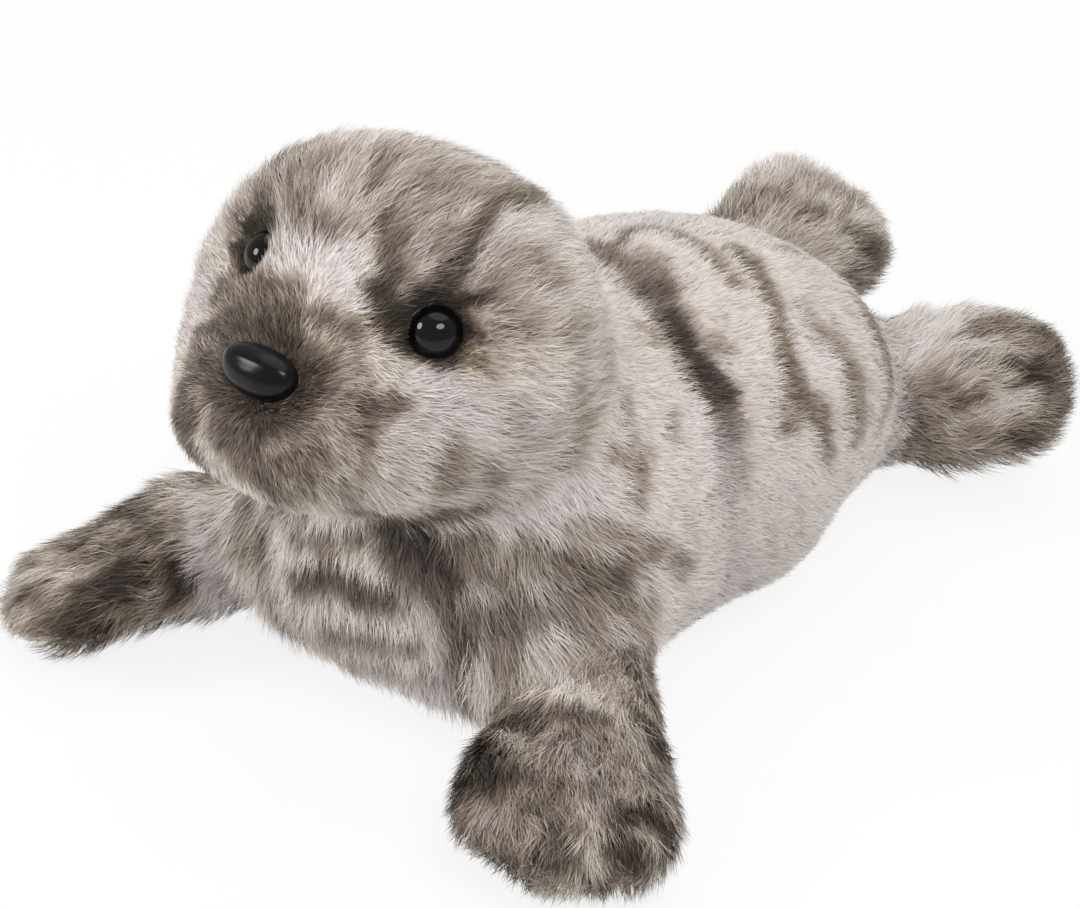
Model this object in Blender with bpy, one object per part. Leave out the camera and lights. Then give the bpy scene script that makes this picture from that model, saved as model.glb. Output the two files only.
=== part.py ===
"""Plush seal lying on its belly with its head raised.

Metres, +Z up, nose towards -Y, the seal's left side towards +X.
The sewn sections are solid stuffed bodies that meet at the seams.
"""

import math

import bmesh
import bpy
from mathutils import Matrix, Vector

# Overall sizes
BODY_LENGTH = 0.240
BODY_WIDTH = 0.130
BODY_HEIGHT = 0.110
HEAD_WIDTH = 0.112
HEAD_RISE = 0.030
LEFT_ARM_REACH = 0.099
RIGHT_ARM_REACH = 0.1065
FRONT_PAW_WIDTH = 0.058
FRONT_PAW_THICKNESS = 0.036
LEFT_HIND_REACH = 0.0625
RIGHT_HIND_REACH = 0.060
HIND_FLIPPER_WIDTH = 0.054
HIND_FLIPPER_THICKNESS = 0.035
RUMP_CAP = 0.004

# Moulded face parts
EYE_DIAMETER = 0.0145
EYE_SHANK_DIAMETER = 0.0036
EYE_SHANK_LENGTH = 0.013
NOSE_WIDTH = 0.0235
NOSE_HEIGHT = 0.0158
NOSE_SHANK_DIAMETER = 0.0044
NOSE_SHANK_LENGTH = 0.015
EYE_BACK = 0.0020
EYE_SINK = 0.0010
EYE_GRIP = 0.0045
NOSE_RISE = 0.0080
NOSE_BACK = 0.0022
NOSE_SINK = 0.0020
NOSE_GRIP = 0.0045
NOSE_TILT = math.radians(16)
NOSE_DIRECTION = (-0.02, -1.0, 0.085)
WASHER_THICKNESS = 0.0016
WASHER_RIM = 0.0036

# Clearances
SEAM_GAP = 0.0003
BORE_GAP = 0.0003
POCKET_GAP = 0.0003
FACE_OPENING = 0.012

# Power of the oval sections: 1 is an ellipse, less is squarer
BODY_SQUARENESS = 0.86
FLIPPER_SQUARENESS = 0.90

RING_POINTS = 38
FLIPPER_POINTS = 24
BUTTON_POINTS = 24
SKIN_COLOUR = (0.46, 0.41, 0.38)
HEAD_COLOUR = (0.42, 0.37, 0.34)
FLIPPER_COLOUR = (0.25, 0.21, 0.19)
PLASTIC_COLOUR = (0.012, 0.012, 0.013)
WASHER_COLOUR = (0.70, 0.70, 0.68)

# Body sections from the neck to the rump: upper point (along, up), lower point
# (along, up) and half width, as shares of the body's length, height and width
BODY_SECTIONS = (
    ((-0.190, 1.09), (-0.500, 0.70), 0.375),
    ((-0.175, 1.03), (-0.510, 0.57), 0.415),
    ((-0.150, 0.99), (-0.512, 0.40), 0.455),
    ((-0.115, 0.965), (-0.490, 0.20), 0.485),
    ((-0.060, 0.95), (-0.430, 0.05), 0.50),
    ((0.000, 0.94), (-0.300, -0.015), 0.505),
    ((0.085, 0.92), (-0.120, -0.02), 0.512),
    ((0.165, 0.885), (0.050, -0.02), 0.503),
    ((0.235, 0.815), (0.165, -0.015), 0.455),
    ((0.292, 0.70), (0.258, 0.03), 0.375),
    ((0.335, 0.565), (0.318, 0.12), 0.27),
    ((0.360, 0.43), (0.352, 0.23), 0.145),
)


def clear_scene():
    for item in list(bpy.data.objects):
        bpy.data.objects.remove(item, do_unlink=True)


def make_material(name, colour, roughness):
    material = bpy.data.materials.new(name)
    material.use_nodes = True
    shader = material.node_tree.nodes["Principled BSDF"]
    shader.inputs["Base Color"].default_value = (*colour, 1.0)
    shader.inputs["Roughness"].default_value = roughness
    shader.inputs["Metallic"].default_value = 0.0
    material.diffuse_color = (*colour, 1.0)
    return material


def spline(values, place):
    """Smooth value through evenly spaced entries at a place from 0 to 1."""
    last = len(values) - 1
    position = min(max(place, 0.0), 1.0) * last
    index = min(int(position), last - 1)
    t = position - index
    before = values[max(index - 1, 0)]
    start = values[index]
    end = values[index + 1]
    after = values[min(index + 2, last)]
    slope_a = (end - before) * 0.5
    slope_b = (after - start) * 0.5
    return (
        start * (2 * t**3 - 3 * t**2 + 1)
        + slope_a * (t**3 - 2 * t**2 + t)
        + end * (3 * t**2 - 2 * t**3)
        + slope_b * (t**3 - t**2)
    )


def power(value, exponent):
    return math.copysign(abs(value) ** exponent, value)


def ring(centre, side, up, half_side, half_up, squareness, count):
    """Closed loop of points round a centre, an ellipse or a squarer oval."""
    points = []
    for step in range(count):
        angle = 2 * math.pi * step / count
        across = power(math.cos(angle), squareness) * half_side
        along = power(math.sin(angle), squareness) * half_up
        points.append(centre + side * across + up * along)
    return points


def skin_rings(name, rings, start_tip, end_tip):
    """One closed mesh through rows of points, closed by a point at each end."""
    mesh = bpy.data.meshes.new(name)
    shape = bmesh.new()
    rows = [[shape.verts.new(point) for point in row] for row in rings]
    for row, following in zip(rows, rows[1:]):
        count = len(row)
        for k in range(count):
            nxt = (k + 1) % count
            shape.faces.new((row[k], row[nxt], following[nxt], following[k]))
    for tip, row in ((start_tip, rows[0]), (end_tip, rows[-1])):
        apex = shape.verts.new(tip)
        count = len(row)
        for k in range(count):
            shape.faces.new((row[k], row[(k + 1) % count], apex))
    bmesh.ops.recalc_face_normals(shape, faces=shape.faces)
    shape.to_mesh(mesh)
    shape.free()
    item = bpy.data.objects.new(name, mesh)
    bpy.context.collection.objects.link(item)
    return item


def shade_smooth(item):
    for face in item.data.polygons:
        face.use_smooth = True


def finish(item, material):
    item.data.materials.clear()
    item.data.materials.append(material)
    shade_smooth(item)
    return item


def slice_flat(item, point, normal):
    """Cuts off what lies on the normal's side of a plane and closes the cut."""
    shape = bmesh.new()
    shape.from_mesh(item.data)
    result = bmesh.ops.bisect_plane(
        shape,
        geom=shape.verts[:] + shape.edges[:] + shape.faces[:],
        plane_co=point,
        plane_no=normal,
        clear_outer=True,
    )
    rim = [part for part in result["geom_cut"] if isinstance(part, bmesh.types.BMEdge)]
    bmesh.ops.holes_fill(shape, edges=rim, sides=0)
    bmesh.ops.recalc_face_normals(shape, faces=shape.faces)
    shape.to_mesh(item.data)
    shape.free()


def grow(item, name, distance):
    """Copy of a closed skin moved outwards by a distance."""
    mesh = item.data.copy()
    shape = bmesh.new()
    shape.from_mesh(mesh)
    shape.normal_update()
    moves = [vertex.normal.copy() for vertex in shape.verts]
    for vertex, move in zip(shape.verts, moves):
        vertex.co += move * distance
    shape.to_mesh(mesh)
    shape.free()
    copy = bpy.data.objects.new(name, mesh)
    bpy.context.collection.objects.link(copy)
    return copy


def cut(item, cutter):
    """Takes a cutter's shape out of a piece for good."""
    modifier = item.modifiers.new("cut", "BOOLEAN")
    modifier.operation = "DIFFERENCE"
    modifier.solver = "EXACT"
    modifier.object = cutter
    bpy.context.view_layer.objects.active = item
    bpy.ops.object.select_all(action="DESELECT")
    item.select_set(True)
    bpy.ops.object.modifier_apply(modifier="cut")
    bpy.data.objects.remove(cutter, do_unlink=True)


# Body

def body_profile(place):
    """Upper point, lower point and half width of the body at a place 0 to 1."""
    top_y = spline([row[0][0] for row in BODY_SECTIONS], place) * BODY_LENGTH
    top_z = spline([row[0][1] for row in BODY_SECTIONS], place) * BODY_HEIGHT
    low_y = spline([row[1][0] for row in BODY_SECTIONS], place) * BODY_LENGTH
    low_z = spline([row[1][1] for row in BODY_SECTIONS], place) * BODY_HEIGHT
    half = spline([row[2] for row in BODY_SECTIONS], place) * BODY_WIDTH
    return Vector((0, top_y, top_z)), Vector((0, low_y, low_z)), half


def neck_plane():
    """Centre of the neck seam and the direction that the neck points in."""
    top, low, half = body_profile(0.0)
    up = (top - low).normalized()
    return (top + low) * 0.5, Vector((0, -up.z, up.y)).normalized()


def make_body(name):
    rows = 32
    rings = []
    for step in range(rows + 1):
        top, low, half = body_profile(step / rows)
        centre = (top + low) * 0.5
        up = (top - low).normalized()
        height = (top - low).length / 2
        rings.append(ring(centre, Vector((1, 0, 0)), up, half, height, BODY_SQUARENESS, RING_POINTS))
    top, low, half = body_profile(1.0)
    end = (top + low) * 0.5 + Vector((0, RUMP_CAP, 0))
    centre, axis = neck_plane()
    item = skin_rings(name, rings, centre, end)
    slice_flat(item, centre, axis)
    slice_flat(item, Vector((0, 0, 0)), Vector((0, 0, -1)))
    return item


# Head

def head_centre():
    centre, axis = neck_plane()
    return centre + axis * HEAD_RISE


# Rounded masses of the head: centre (side, along, up) and half sizes, as shares
# of the head's width
HEAD_MASSES = (
    ((0.0, 0.008, 0.001), (0.512, 0.373, 0.402)),
    ((0.0, -0.098, -0.133), (0.478, 0.405, 0.208)),
    ((0.0, -0.230, -0.124), (0.315, 0.318, 0.222)),
    ((0.0, 0.114, -0.050), (0.393, 0.348, 0.350)),
)
LEFT_EYE_DIRECTION = (0.760, -0.520, 0.330)
RIGHT_EYE_DIRECTION = (-0.640, -0.600, 0.430)
SOCKET_DEPTH = 0.140
SOCKET_SPREAD = 0.24
BLEND = 8.0


def head_radius(direction):
    """Distance from the head's centre to its surface along a direction."""
    total = 0.0
    for centre, half in HEAD_MASSES:
        a = sum((direction[k] / half[k]) ** 2 for k in range(3))
        b = -2 * sum(direction[k] * centre[k] / half[k] ** 2 for k in range(3))
        c = sum((centre[k] / half[k]) ** 2 for k in range(3)) - 1
        inside = b * b - 4 * a * c
        if inside > 0:
            reach = (-b + math.sqrt(inside)) / (2 * a)
            if reach > 0:
                total += reach**BLEND
    radius = total ** (1 / BLEND) * HEAD_WIDTH
    for eye in (LEFT_EYE_DIRECTION, RIGHT_EYE_DIRECTION):
        gap = Vector(direction).angle(Vector(eye))
        radius *= 1 - SOCKET_DEPTH * math.exp(-((gap / SOCKET_SPREAD) ** 2))
    return radius


def head_point(direction):
    unit = Vector(direction).normalized()
    return head_centre() + unit * head_radius(unit)


def head_normal(direction):
    """Outward direction of the head's surface where a direction meets it."""
    unit = Vector(direction).normalized()
    side = unit.cross(Vector((0.1, 0.2, 1))).normalized()
    up = side.cross(unit)
    step = 0.03
    across = head_point(unit + side * step) - head_point(unit - side * step)
    along = head_point(unit + up * step) - head_point(unit - up * step)
    return across.cross(along).normalized() * (1 if across.cross(along).dot(unit) > 0 else -1)


def make_head(name):
    rows = 30
    rings = []
    for step in range(1, rows):
        polar = math.pi * step / rows
        points = []
        for k in range(RING_POINTS):
            angle = 2 * math.pi * k / RING_POINTS
            direction = Vector(
                (
                    math.sin(polar) * math.cos(angle),
                    -math.cos(polar),
                    math.sin(polar) * math.sin(angle),
                )
            )
            points.append(head_point(direction))
        rings.append(points)
    item = skin_rings(name, rings, head_point((0, -1, 0)), head_point((0, 1, 0)))
    centre, axis = neck_plane()
    slice_flat(item, centre + axis * SEAM_GAP, -axis)
    return item


# Flippers

def make_flipper(name, path, widths, thicknesses, across, crease):
    """Stuffed flipper along a path, with a crease that parts its end in two."""
    rows = 17
    rings = []
    offset, spread, depth = crease
    for step in range(rows + 1):
        place = step / rows
        centre = Vector([spline([point[k] for point in path], place) for k in range(3)])
        ahead = Vector([spline([point[k] for point in path], min(place + 0.02, 1.0)) for k in range(3)])
        behind = Vector([spline([point[k] for point in path], max(place - 0.02, 0.0)) for k in range(3)])
        run = (ahead - behind).normalized()
        side = (across - run * across.dot(run)).normalized()
        up = side.cross(run)
        if up.z < 0:
            up = -up
        half_side = spline(widths, place) / 2
        half_up = spline(thicknesses, place) / 2
        points = ring(centre, side, up, half_side, half_up, FLIPPER_SQUARENESS, FLIPPER_POINTS)
        ramp = max(0.0, (place - 0.55) / 0.45)
        for point in points:
            lateral = (point - centre).dot(side) - offset
            height = (point - centre).dot(up)
            pinch = depth * ramp * math.exp(-((lateral / spread) ** 2))
            point -= up * height * pinch
        rings.append(points)
    first = Vector(path[0])
    last = sum(rings[-1], Vector()) / FLIPPER_POINTS + run * thicknesses[-1] * 0.2
    return skin_rings(name, rings, first, last)


# Run of a front flipper from the shoulder (out, ahead, up), as shares of its reach
FRONT_PATH = (
    (0.0, 0.0, 0.0),
    (0.15, -0.17, -0.06),
    (0.28, -0.35, -0.12),
    (0.40, -0.51, -0.165),
    (0.485, -0.645, -0.205),
    (0.545, -0.755, -0.22),
    (0.59, -0.835, -0.23),
)
FRONT_WIDTHS = (0.56, 0.72, 0.81, 0.98, 1.09, 0.96, 0.37)
FRONT_THICKNESSES = (1.45, 1.40, 1.20, 0.98, 0.88, 0.74, 0.26)


def make_front_flipper(name, side, body, reach, turn, roll):
    """Front flipper: turn swings it outwards, roll raises its inner edge."""
    root = Vector((side * BODY_WIDTH * 0.28, -BODY_LENGTH * 0.275, BODY_HEIGHT * 0.35))
    swing = Matrix.Rotation(turn * side, 3, "Z")
    path = []
    for out, ahead, up in FRONT_PATH:
        path.append(root + swing @ Vector((out * side, ahead, up)) * reach)
    widths = [FRONT_PAW_WIDTH * share for share in FRONT_WIDTHS]
    thick = [FRONT_PAW_THICKNESS * share for share in FRONT_THICKNESSES]
    level = swing @ Vector((-0.83 * side, -0.56, 0.0))
    across = level * math.cos(roll) + Vector((0, 0, math.sin(roll)))
    crease = (-FRONT_PAW_WIDTH * 0.16, FRONT_PAW_WIDTH * 0.10, 0.35)
    item = make_flipper(name, path, widths, thick, across, crease)
    slice_flat(item, Vector((0, 0, 0)), Vector((0, 0, -1)))
    cut(item, grow(body, "body allowance", SEAM_GAP))
    return item


HIND_STEPS = (0.0, 0.22, 0.45, 0.66, 0.86, 1.02, 1.12)
HIND_WIDTHS = (0.94, 0.99, 1.01, 1.00, 0.94, 0.75, 0.30)
HIND_THICKNESSES = (0.98, 1.00, 0.98, 0.94, 0.86, 0.66, 0.22)


def make_hind_flipper(name, side, body, reach, height, heading, lift, roll):
    """Rear flipper: heading turns it outwards, roll raises its rear edge."""
    root = Vector((side * BODY_WIDTH * 0.14, BODY_LENGTH * 0.325, BODY_HEIGHT * height))
    run = Vector((math.sin(heading) * side, math.cos(heading), lift))
    path = [root + run * share * reach for share in HIND_STEPS]
    widths = [HIND_FLIPPER_WIDTH * share for share in HIND_WIDTHS]
    thick = [HIND_FLIPPER_THICKNESS * share for share in HIND_THICKNESSES]
    level = Vector((-math.cos(heading) * side, math.sin(heading), 0.0))
    across = level * math.cos(roll) + Vector((0, 0, math.sin(roll)))
    crease = (-HIND_FLIPPER_WIDTH * 0.08, HIND_FLIPPER_WIDTH * 0.10, 0.35)
    item = make_flipper(name, path, widths, thick, across, crease)
    slice_flat(item, Vector((0, 0, 0)), Vector((0, 0, -1)))
    cut(item, grow(body, "body allowance", SEAM_GAP))
    return item


# Moulded face parts

def placed(item, origin, axis, roll_up):
    """Moves a piece drawn round +Z so that +Z runs along an axis."""
    depth = axis.normalized()
    side = roll_up.cross(depth).normalized()
    up = depth.cross(side)
    turn = Matrix((side, up, depth)).transposed().to_4x4()
    item.data.transform(Matrix.Translation(origin) @ turn)


def lathe(name, profile, flat=1.0):
    """Solid turned round Z from (radius, height) points that end on the axis."""
    count = BUTTON_POINTS
    rings = []
    for radius, height in profile[1:-1]:
        row = []
        for k in range(count):
            angle = 2 * math.pi * k / count
            row.append(Vector((radius * math.cos(angle), radius * math.sin(angle) * flat, height)))
        rings.append(row)
    start = Vector((0, 0, profile[0][1]))
    end = Vector((0, 0, profile[-1][1]))
    return skin_rings(name, rings, start, end)


def washer(name, inner, outer, low, thickness):
    """Flat locking ring round Z."""
    mesh = bpy.data.meshes.new(name)
    shape = bmesh.new()
    count = BUTTON_POINTS
    rows = []
    for radius, height in (
        (inner, low),
        (outer, low),
        (outer, low + thickness),
        (inner, low + thickness),
    ):
        row = []
        for k in range(count):
            angle = 2 * math.pi * k / count
            row.append(shape.verts.new((radius * math.cos(angle), radius * math.sin(angle), height)))
        rows.append(row)
    for index, row in enumerate(rows):
        following = rows[(index + 1) % 4]
        for k in range(count):
            nxt = (k + 1) % count
            shape.faces.new((row[k], row[nxt], following[nxt], following[k]))
    bmesh.ops.recalc_face_normals(shape, faces=shape.faces)
    shape.to_mesh(mesh)
    shape.free()
    item = bpy.data.objects.new(name, mesh)
    bpy.context.collection.objects.link(item)
    return item


def dome_profile(radius, rise, back, steps):
    """Outline of a domed button from its rim behind to its crown."""
    points = [(radius * 0.94, -back), (radius * 0.99, -back * 0.7)]
    for step in range(steps):
        angle = math.pi / 2 * step / steps
        points.append((radius * math.cos(angle), rise * math.sin(angle)))
    points.append((0.0, rise))
    return points


def fit_button(head, name, half_width, flat, rise, back, shank, length, grip, place, axis):
    """Domed plastic button with its shank, locking washer and hole in the head."""
    up = Vector((0, 0, 1))
    stem = [(0.0, -back - length), (shank, -back - length), (shank, -back)]
    button = lathe(name, stem + dome_profile(half_width, rise, back, 9), flat)
    if flat != 1.0:
        for vertex in button.data.vertices:
            if vertex.co.z < -back + 1e-6 and vertex.co.xy.length < shank * 1.01:
                vertex.co.y /= flat
    placed(button, place, axis, up)
    rim = shank + WASHER_RIM
    low = -back - grip - WASHER_THICKNESS
    lock = washer(name + "_washer", shank + BORE_GAP, rim, low, WASHER_THICKNESS)
    placed(lock, place, axis, up)
    bore = shank + BORE_GAP
    pocket = rim + POCKET_GAP
    wall = half_width + BORE_GAP
    hole = lathe(
        name + " hole",
        [
            (0.0, -back - length - BORE_GAP),
            (bore, -back - length - BORE_GAP),
            (bore, low - POCKET_GAP),
            (pocket, low - POCKET_GAP),
            (pocket, low + WASHER_THICKNESS + POCKET_GAP),
            (bore, low + WASHER_THICKNESS + POCKET_GAP),
            (bore, -back - BORE_GAP),
            (wall, -back - BORE_GAP),
            (wall, FACE_OPENING),
            (0.0, FACE_OPENING),
        ],
    )
    if flat != 1.0:
        narrow = (half_width * flat + BORE_GAP) / wall
        for vertex in hole.data.vertices:
            if vertex.co.xy.length > pocket * 1.001:
                vertex.co.y *= narrow
    placed(hole, place, axis, up)
    cut(head, hole)
    return button, lock


def make_eye(head, name, direction):
    axis = head_normal(direction)
    radius = EYE_DIAMETER / 2
    place = head_point(direction) - axis * EYE_SINK
    return fit_button(
        head,
        name,
        radius,
        1.0,
        radius * 0.86,
        EYE_BACK,
        EYE_SHANK_DIAMETER / 2,
        EYE_SHANK_LENGTH,
        EYE_GRIP,
        place,
        axis,
    )


def make_nose(head, name):
    axis = Vector((0, -math.cos(NOSE_TILT), math.sin(NOSE_TILT)))
    place = head_point(NOSE_DIRECTION) - axis * NOSE_SINK
    return fit_button(
        head,
        name,
        NOSE_WIDTH / 2,
        NOSE_HEIGHT / NOSE_WIDTH,
        NOSE_RISE,
        NOSE_BACK,
        NOSE_SHANK_DIAMETER / 2,
        NOSE_SHANK_LENGTH,
        NOSE_GRIP,
        place,
        axis,
    )


def settle(items):
    """Puts the whole toy's footprint round the origin with its lowest point at 0."""
    corners = [vertex.co for item in items for vertex in item.data.vertices]
    low = [min(point[k] for point in corners) for k in range(3)]
    high = [max(point[k] for point in corners) for k in range(3)]
    move = Vector((-(low[0] + high[0]) / 2, -(low[1] + high[1]) / 2, -low[2]))
    for item in items:
        item.data.transform(Matrix.Translation(move))


def main():
    clear_scene()
    skin = make_material("body plush", SKIN_COLOUR, 0.95)
    head_plush = make_material("head plush", HEAD_COLOUR, 0.95)
    flipper_plush = make_material("flipper plush", FLIPPER_COLOUR, 0.95)
    body = make_body("body")
    head = make_head("head")
    fore_left = make_front_flipper(
        "left_front_flipper", 1, body, LEFT_ARM_REACH, 0.0, math.radians(9)
    )
    fore_right = make_front_flipper(
        "right_front_flipper", -1, body, RIGHT_ARM_REACH, math.radians(3), math.radians(14)
    )
    hind_left = make_hind_flipper(
        "left_hind_flipper", 1, body, LEFT_HIND_REACH, 0.27, math.radians(53), 0.05, math.radians(40)
    )
    hind_right = make_hind_flipper(
        "right_hind_flipper", -1, body, RIGHT_HIND_REACH, 0.46, math.radians(12), 0.09, math.radians(-22)
    )
    plastic = make_material("black plastic", PLASTIC_COLOUR, 0.12)
    clear = make_material("washer plastic", WASHER_COLOUR, 0.45)
    parts = [
        make_eye(head, "left_eye", LEFT_EYE_DIRECTION),
        make_eye(head, "right_eye", RIGHT_EYE_DIRECTION),
        make_nose(head, "nose"),
    ]
    finish(body, skin)
    finish(head, head_plush)
    for button, lock in parts:
        finish(button, plastic)
        finish(lock, clear)
    for item in (fore_left, fore_right, hind_left, hind_right):
        finish(item, flipper_plush)
    settle([item for item in bpy.data.objects if item.type == "MESH"])


main()
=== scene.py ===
"""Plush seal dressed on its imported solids: stuffed skins, pile, eyes and nose."""

import math

import bpy
import numpy as np
from mathutils import Matrix, Vector
from mathutils.bvhtree import BVHTree
from mathutils.kdtree import KDTree


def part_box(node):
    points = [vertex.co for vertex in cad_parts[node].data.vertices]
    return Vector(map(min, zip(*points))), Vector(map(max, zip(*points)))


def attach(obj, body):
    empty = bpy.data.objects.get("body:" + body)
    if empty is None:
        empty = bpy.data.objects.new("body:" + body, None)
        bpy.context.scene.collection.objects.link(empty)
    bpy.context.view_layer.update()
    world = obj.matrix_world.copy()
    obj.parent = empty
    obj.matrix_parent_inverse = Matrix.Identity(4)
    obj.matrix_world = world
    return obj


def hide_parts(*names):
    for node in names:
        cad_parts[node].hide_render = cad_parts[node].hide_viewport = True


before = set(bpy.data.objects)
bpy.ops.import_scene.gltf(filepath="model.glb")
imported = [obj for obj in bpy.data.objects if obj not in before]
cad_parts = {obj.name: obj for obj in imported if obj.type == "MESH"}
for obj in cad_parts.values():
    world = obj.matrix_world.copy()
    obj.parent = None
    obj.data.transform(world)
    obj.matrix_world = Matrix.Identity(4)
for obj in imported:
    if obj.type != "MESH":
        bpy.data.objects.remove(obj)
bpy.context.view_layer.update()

# View of the photograph, in its own picture units
PICTURE_WIDTH = 1080
PICTURE_HEIGHT = 908
VIEW_AZIMUTH = math.radians(38.5)
VIEW_ELEVATION = math.radians(32.4)
VIEW_DISTANCE = 1.1
VIEW_SCALE = 3730.0
VIEW_RIGHT = 90.5
VIEW_DOWN = 104.0
BODY_LOW, BODY_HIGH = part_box("body")
MIDDLE = (BODY_LOW[0] + BODY_HIGH[0]) / 2
VIEW_CENTRE = Vector((MIDDLE, BODY_LOW[1] + 0.1232, 0.0))
UNITS_PER_METRE = VIEW_SCALE / VIEW_DISTANCE

# Skins lie this far inside the solids, so that the pile reaches the solids' outline
BODY_INSET = 0.0030
HEAD_INSET = 0.0024
FLIPPER_INSET = 0.0050

# Face sizes of the skins, and the farthest that the stuffing may move a point
BODY_VOXEL = 0.0045
HEAD_VOXEL = 0.0036
FLIPPER_VOXEL = 0.0036
SECTION_CAP = 0.0030
FLIPPER_CAP = 0.0035
STUFFING_FRAMES = 20

# How near to a seam skins and pile follow the softened form, over what distance that
# fades, and how near to it the sewn edge is held; then the form's own face size and
# rounds of softening, and how far a point may lie from it and over what it lets go
NECK_SPAN = 0.034
NECK_FADE = 0.011
NECK_HOLD = 0.006
ROOT_SPAN = 0.022
ROOT_FADE = 0.010
ROOT_HOLD = 0.007
SOFT_VOXEL = 0.0040
SOFT_ROUNDS = 60
SOFT_REACH = 0.012
SOFT_FADE = 0.006

# Depths of a root under the softened form: up to the first one the next section doesn't
# hide its hair, and from the second one on it has none
OPEN_DEPTH = 0.0072
LOST_DEPTH = 0.0100

# Hair lengths, what they gain towards the chest and the crown, and how far a tuft pulls
BODY_HAIR = 0.0050
CHEST_GAIN = 0.0040
FACE_HAIR = 0.0048
CROWN_GAIN = 0.0042
FLIPPER_HAIR = 0.0092
TUFT_REACH = 0.006
ROOT_SUNK = 0.0006
GROUND = 0.0005

# Eyes and nose: their sizes, and how far they sit deeper than the solids' domes
EYE_RADIUS = 0.00690
EYE_RISE = 0.0062
EYE_BACK = 0.0018
EYE_SUNK = {"left_eye": 0.0009, "right_eye": 0.0026}
NOSE_HALF_WIDTH = 0.01175
NOSE_HALF_HEIGHT = 0.0066
NOSE_RISE = 0.0062
NOSE_BACK = 0.0020
NOSE_SUNK = 0.0010
NOSE_DROP = 0.0012

FLIPPERS = ("left_front_flipper", "right_front_flipper", "left_hind_flipper", "right_hind_flipper")

# Places of the outline made fuller: across and down in the picture, reach, amount
FULLNESS = {
    "head": ((192, 262, 0.016, 0.0024), (176, 437, 0.013, 0.0026), (470, 138, 0.022, -0.0018)),
    "body": (
        (858, 520, 0.018, -0.0045), (800, 588, 0.016, 0.0026), (287, 632, 0.016, 0.0016),
        (385, 702, 0.016, -0.0016), (625, 204, 0.022, -0.0014),
    ),
    "left_front_flipper": ((460, 755, 0.012, 0.0030), (555, 895, 0.014, 0.0030)),
    "right_front_flipper": (
        (35, 650, 0.012, 0.0016), (85, 655, 0.012, 0.0012), (170, 472, 0.015, 0.0036),
    ),
    "left_hind_flipper": ((977, 302, 0.014, 0.0016), (947, 478, 0.014, 0.0014)),
    "right_hind_flipper": (
        (902, 262, 0.011, 0.0014), (888, 300, 0.012, 0.0036), (812, 154, 0.012, 0.0020),
    ),
}


# Camera and light

def view_axes():
    """Directions to the camera, to the picture's right and up."""
    turn, lift = VIEW_AZIMUTH, VIEW_ELEVATION
    back = Vector(
        (math.sin(turn) * math.cos(lift), -math.cos(turn) * math.cos(lift), math.sin(lift))
    )
    right = Vector((math.cos(turn), math.sin(turn), 0))
    return back, right, back.cross(right)


def aim(position, direction):
    """Placement that looks along a direction from a position, upright."""
    depth = -direction.normalized()
    side = Vector((0, 0, 1)).cross(depth).normalized()
    top = depth.cross(side)
    turn = Matrix((side, top, depth)).transposed().to_4x4()
    return Matrix.Translation(position) @ turn


def add_camera():
    back, right, up = view_axes()
    data = bpy.data.cameras.new("camera")
    data.sensor_width = 36.0
    data.lens = VIEW_SCALE / PICTURE_WIDTH * data.sensor_width
    data.clip_start = 0.05
    data.clip_end = 20.0
    camera = bpy.data.objects.new("camera", data)
    bpy.context.scene.collection.objects.link(camera)
    direction = -back - right * (VIEW_RIGHT / VIEW_SCALE) + up * (VIEW_DOWN / VIEW_SCALE)
    camera.matrix_world = aim(VIEW_CENTRE + back * VIEW_DISTANCE, direction)
    bpy.context.scene.camera = camera
    return camera


def picture_ray(across, down):
    """Start and direction of the line of sight through a point of the picture."""
    turn = camera.matrix_world.to_3x3()
    slope = Vector(
        (
            (across - PICTURE_WIDTH / 2) / VIEW_SCALE,
            (PICTURE_HEIGHT / 2 - down) / VIEW_SCALE,
            -1.0,
        )
    )
    return camera.matrix_world.translation.copy(), (turn @ slope).normalized()


def add_lamp(name, direction, distance, size, height, power):
    data = bpy.data.lights.new(name, "AREA")
    data.shape = "ELLIPSE"
    data.size = size
    data.size_y = height
    data.energy = power
    lamp = bpy.data.objects.new(name, data)
    bpy.context.scene.collection.objects.link(lamp)
    target = Vector((0, 0, 0.08))
    away = direction.normalized()
    lamp.matrix_world = aim(target + away * distance, -away)


def add_lamps():
    back, right, up = view_axes()
    add_lamp("key", right * -0.86 + up * 0.26 + back * 0.44, 1.15, 0.40, 0.40, 5.2)
    add_lamp("umbrella", right * 0.26 + up * 0.27 + back * 0.93, 1.30, 0.66, 0.44, 7.2)
    add_lamp("overhead", Vector((-0.05, 0.25, 1.0)), 1.20, 1.50, 1.50, 6.2)


def fill_inputs(tree, node, inputs):
    """Puts a value or another node's socket on each of a node's inputs."""
    for name, value in inputs.items():
        if isinstance(value, bpy.types.NodeSocket):
            tree.links.new(value, node.inputs[name])
        else:
            node.inputs[name].default_value = value


def add_node(tree, kind, inputs):
    node = tree.nodes.new("ShaderNode" + kind)
    fill_inputs(tree, node, inputs)
    return node


def background_share(tree):
    """Socket that is 1 for what the camera sees of the backdrop."""
    return add_node(tree, "LightPath", {}).outputs["Is Camera Ray"]


def set_world():
    world = bpy.data.worlds.new("studio")
    bpy.context.scene.world = world
    world.use_nodes = True
    tree = world.node_tree
    tree.nodes.clear()
    soft = add_node(tree, "Background", {"Color": (1.0, 0.995, 0.985, 1), "Strength": 0.50})
    white = add_node(tree, "Background", {"Strength": 1.0})
    inputs = {0: background_share(tree), 1: soft.outputs[0], 2: white.outputs[0]}
    mix = add_node(tree, "MixShader", inputs)
    add_node(tree, "OutputWorld", {"Surface": mix.outputs[0]})


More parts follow.
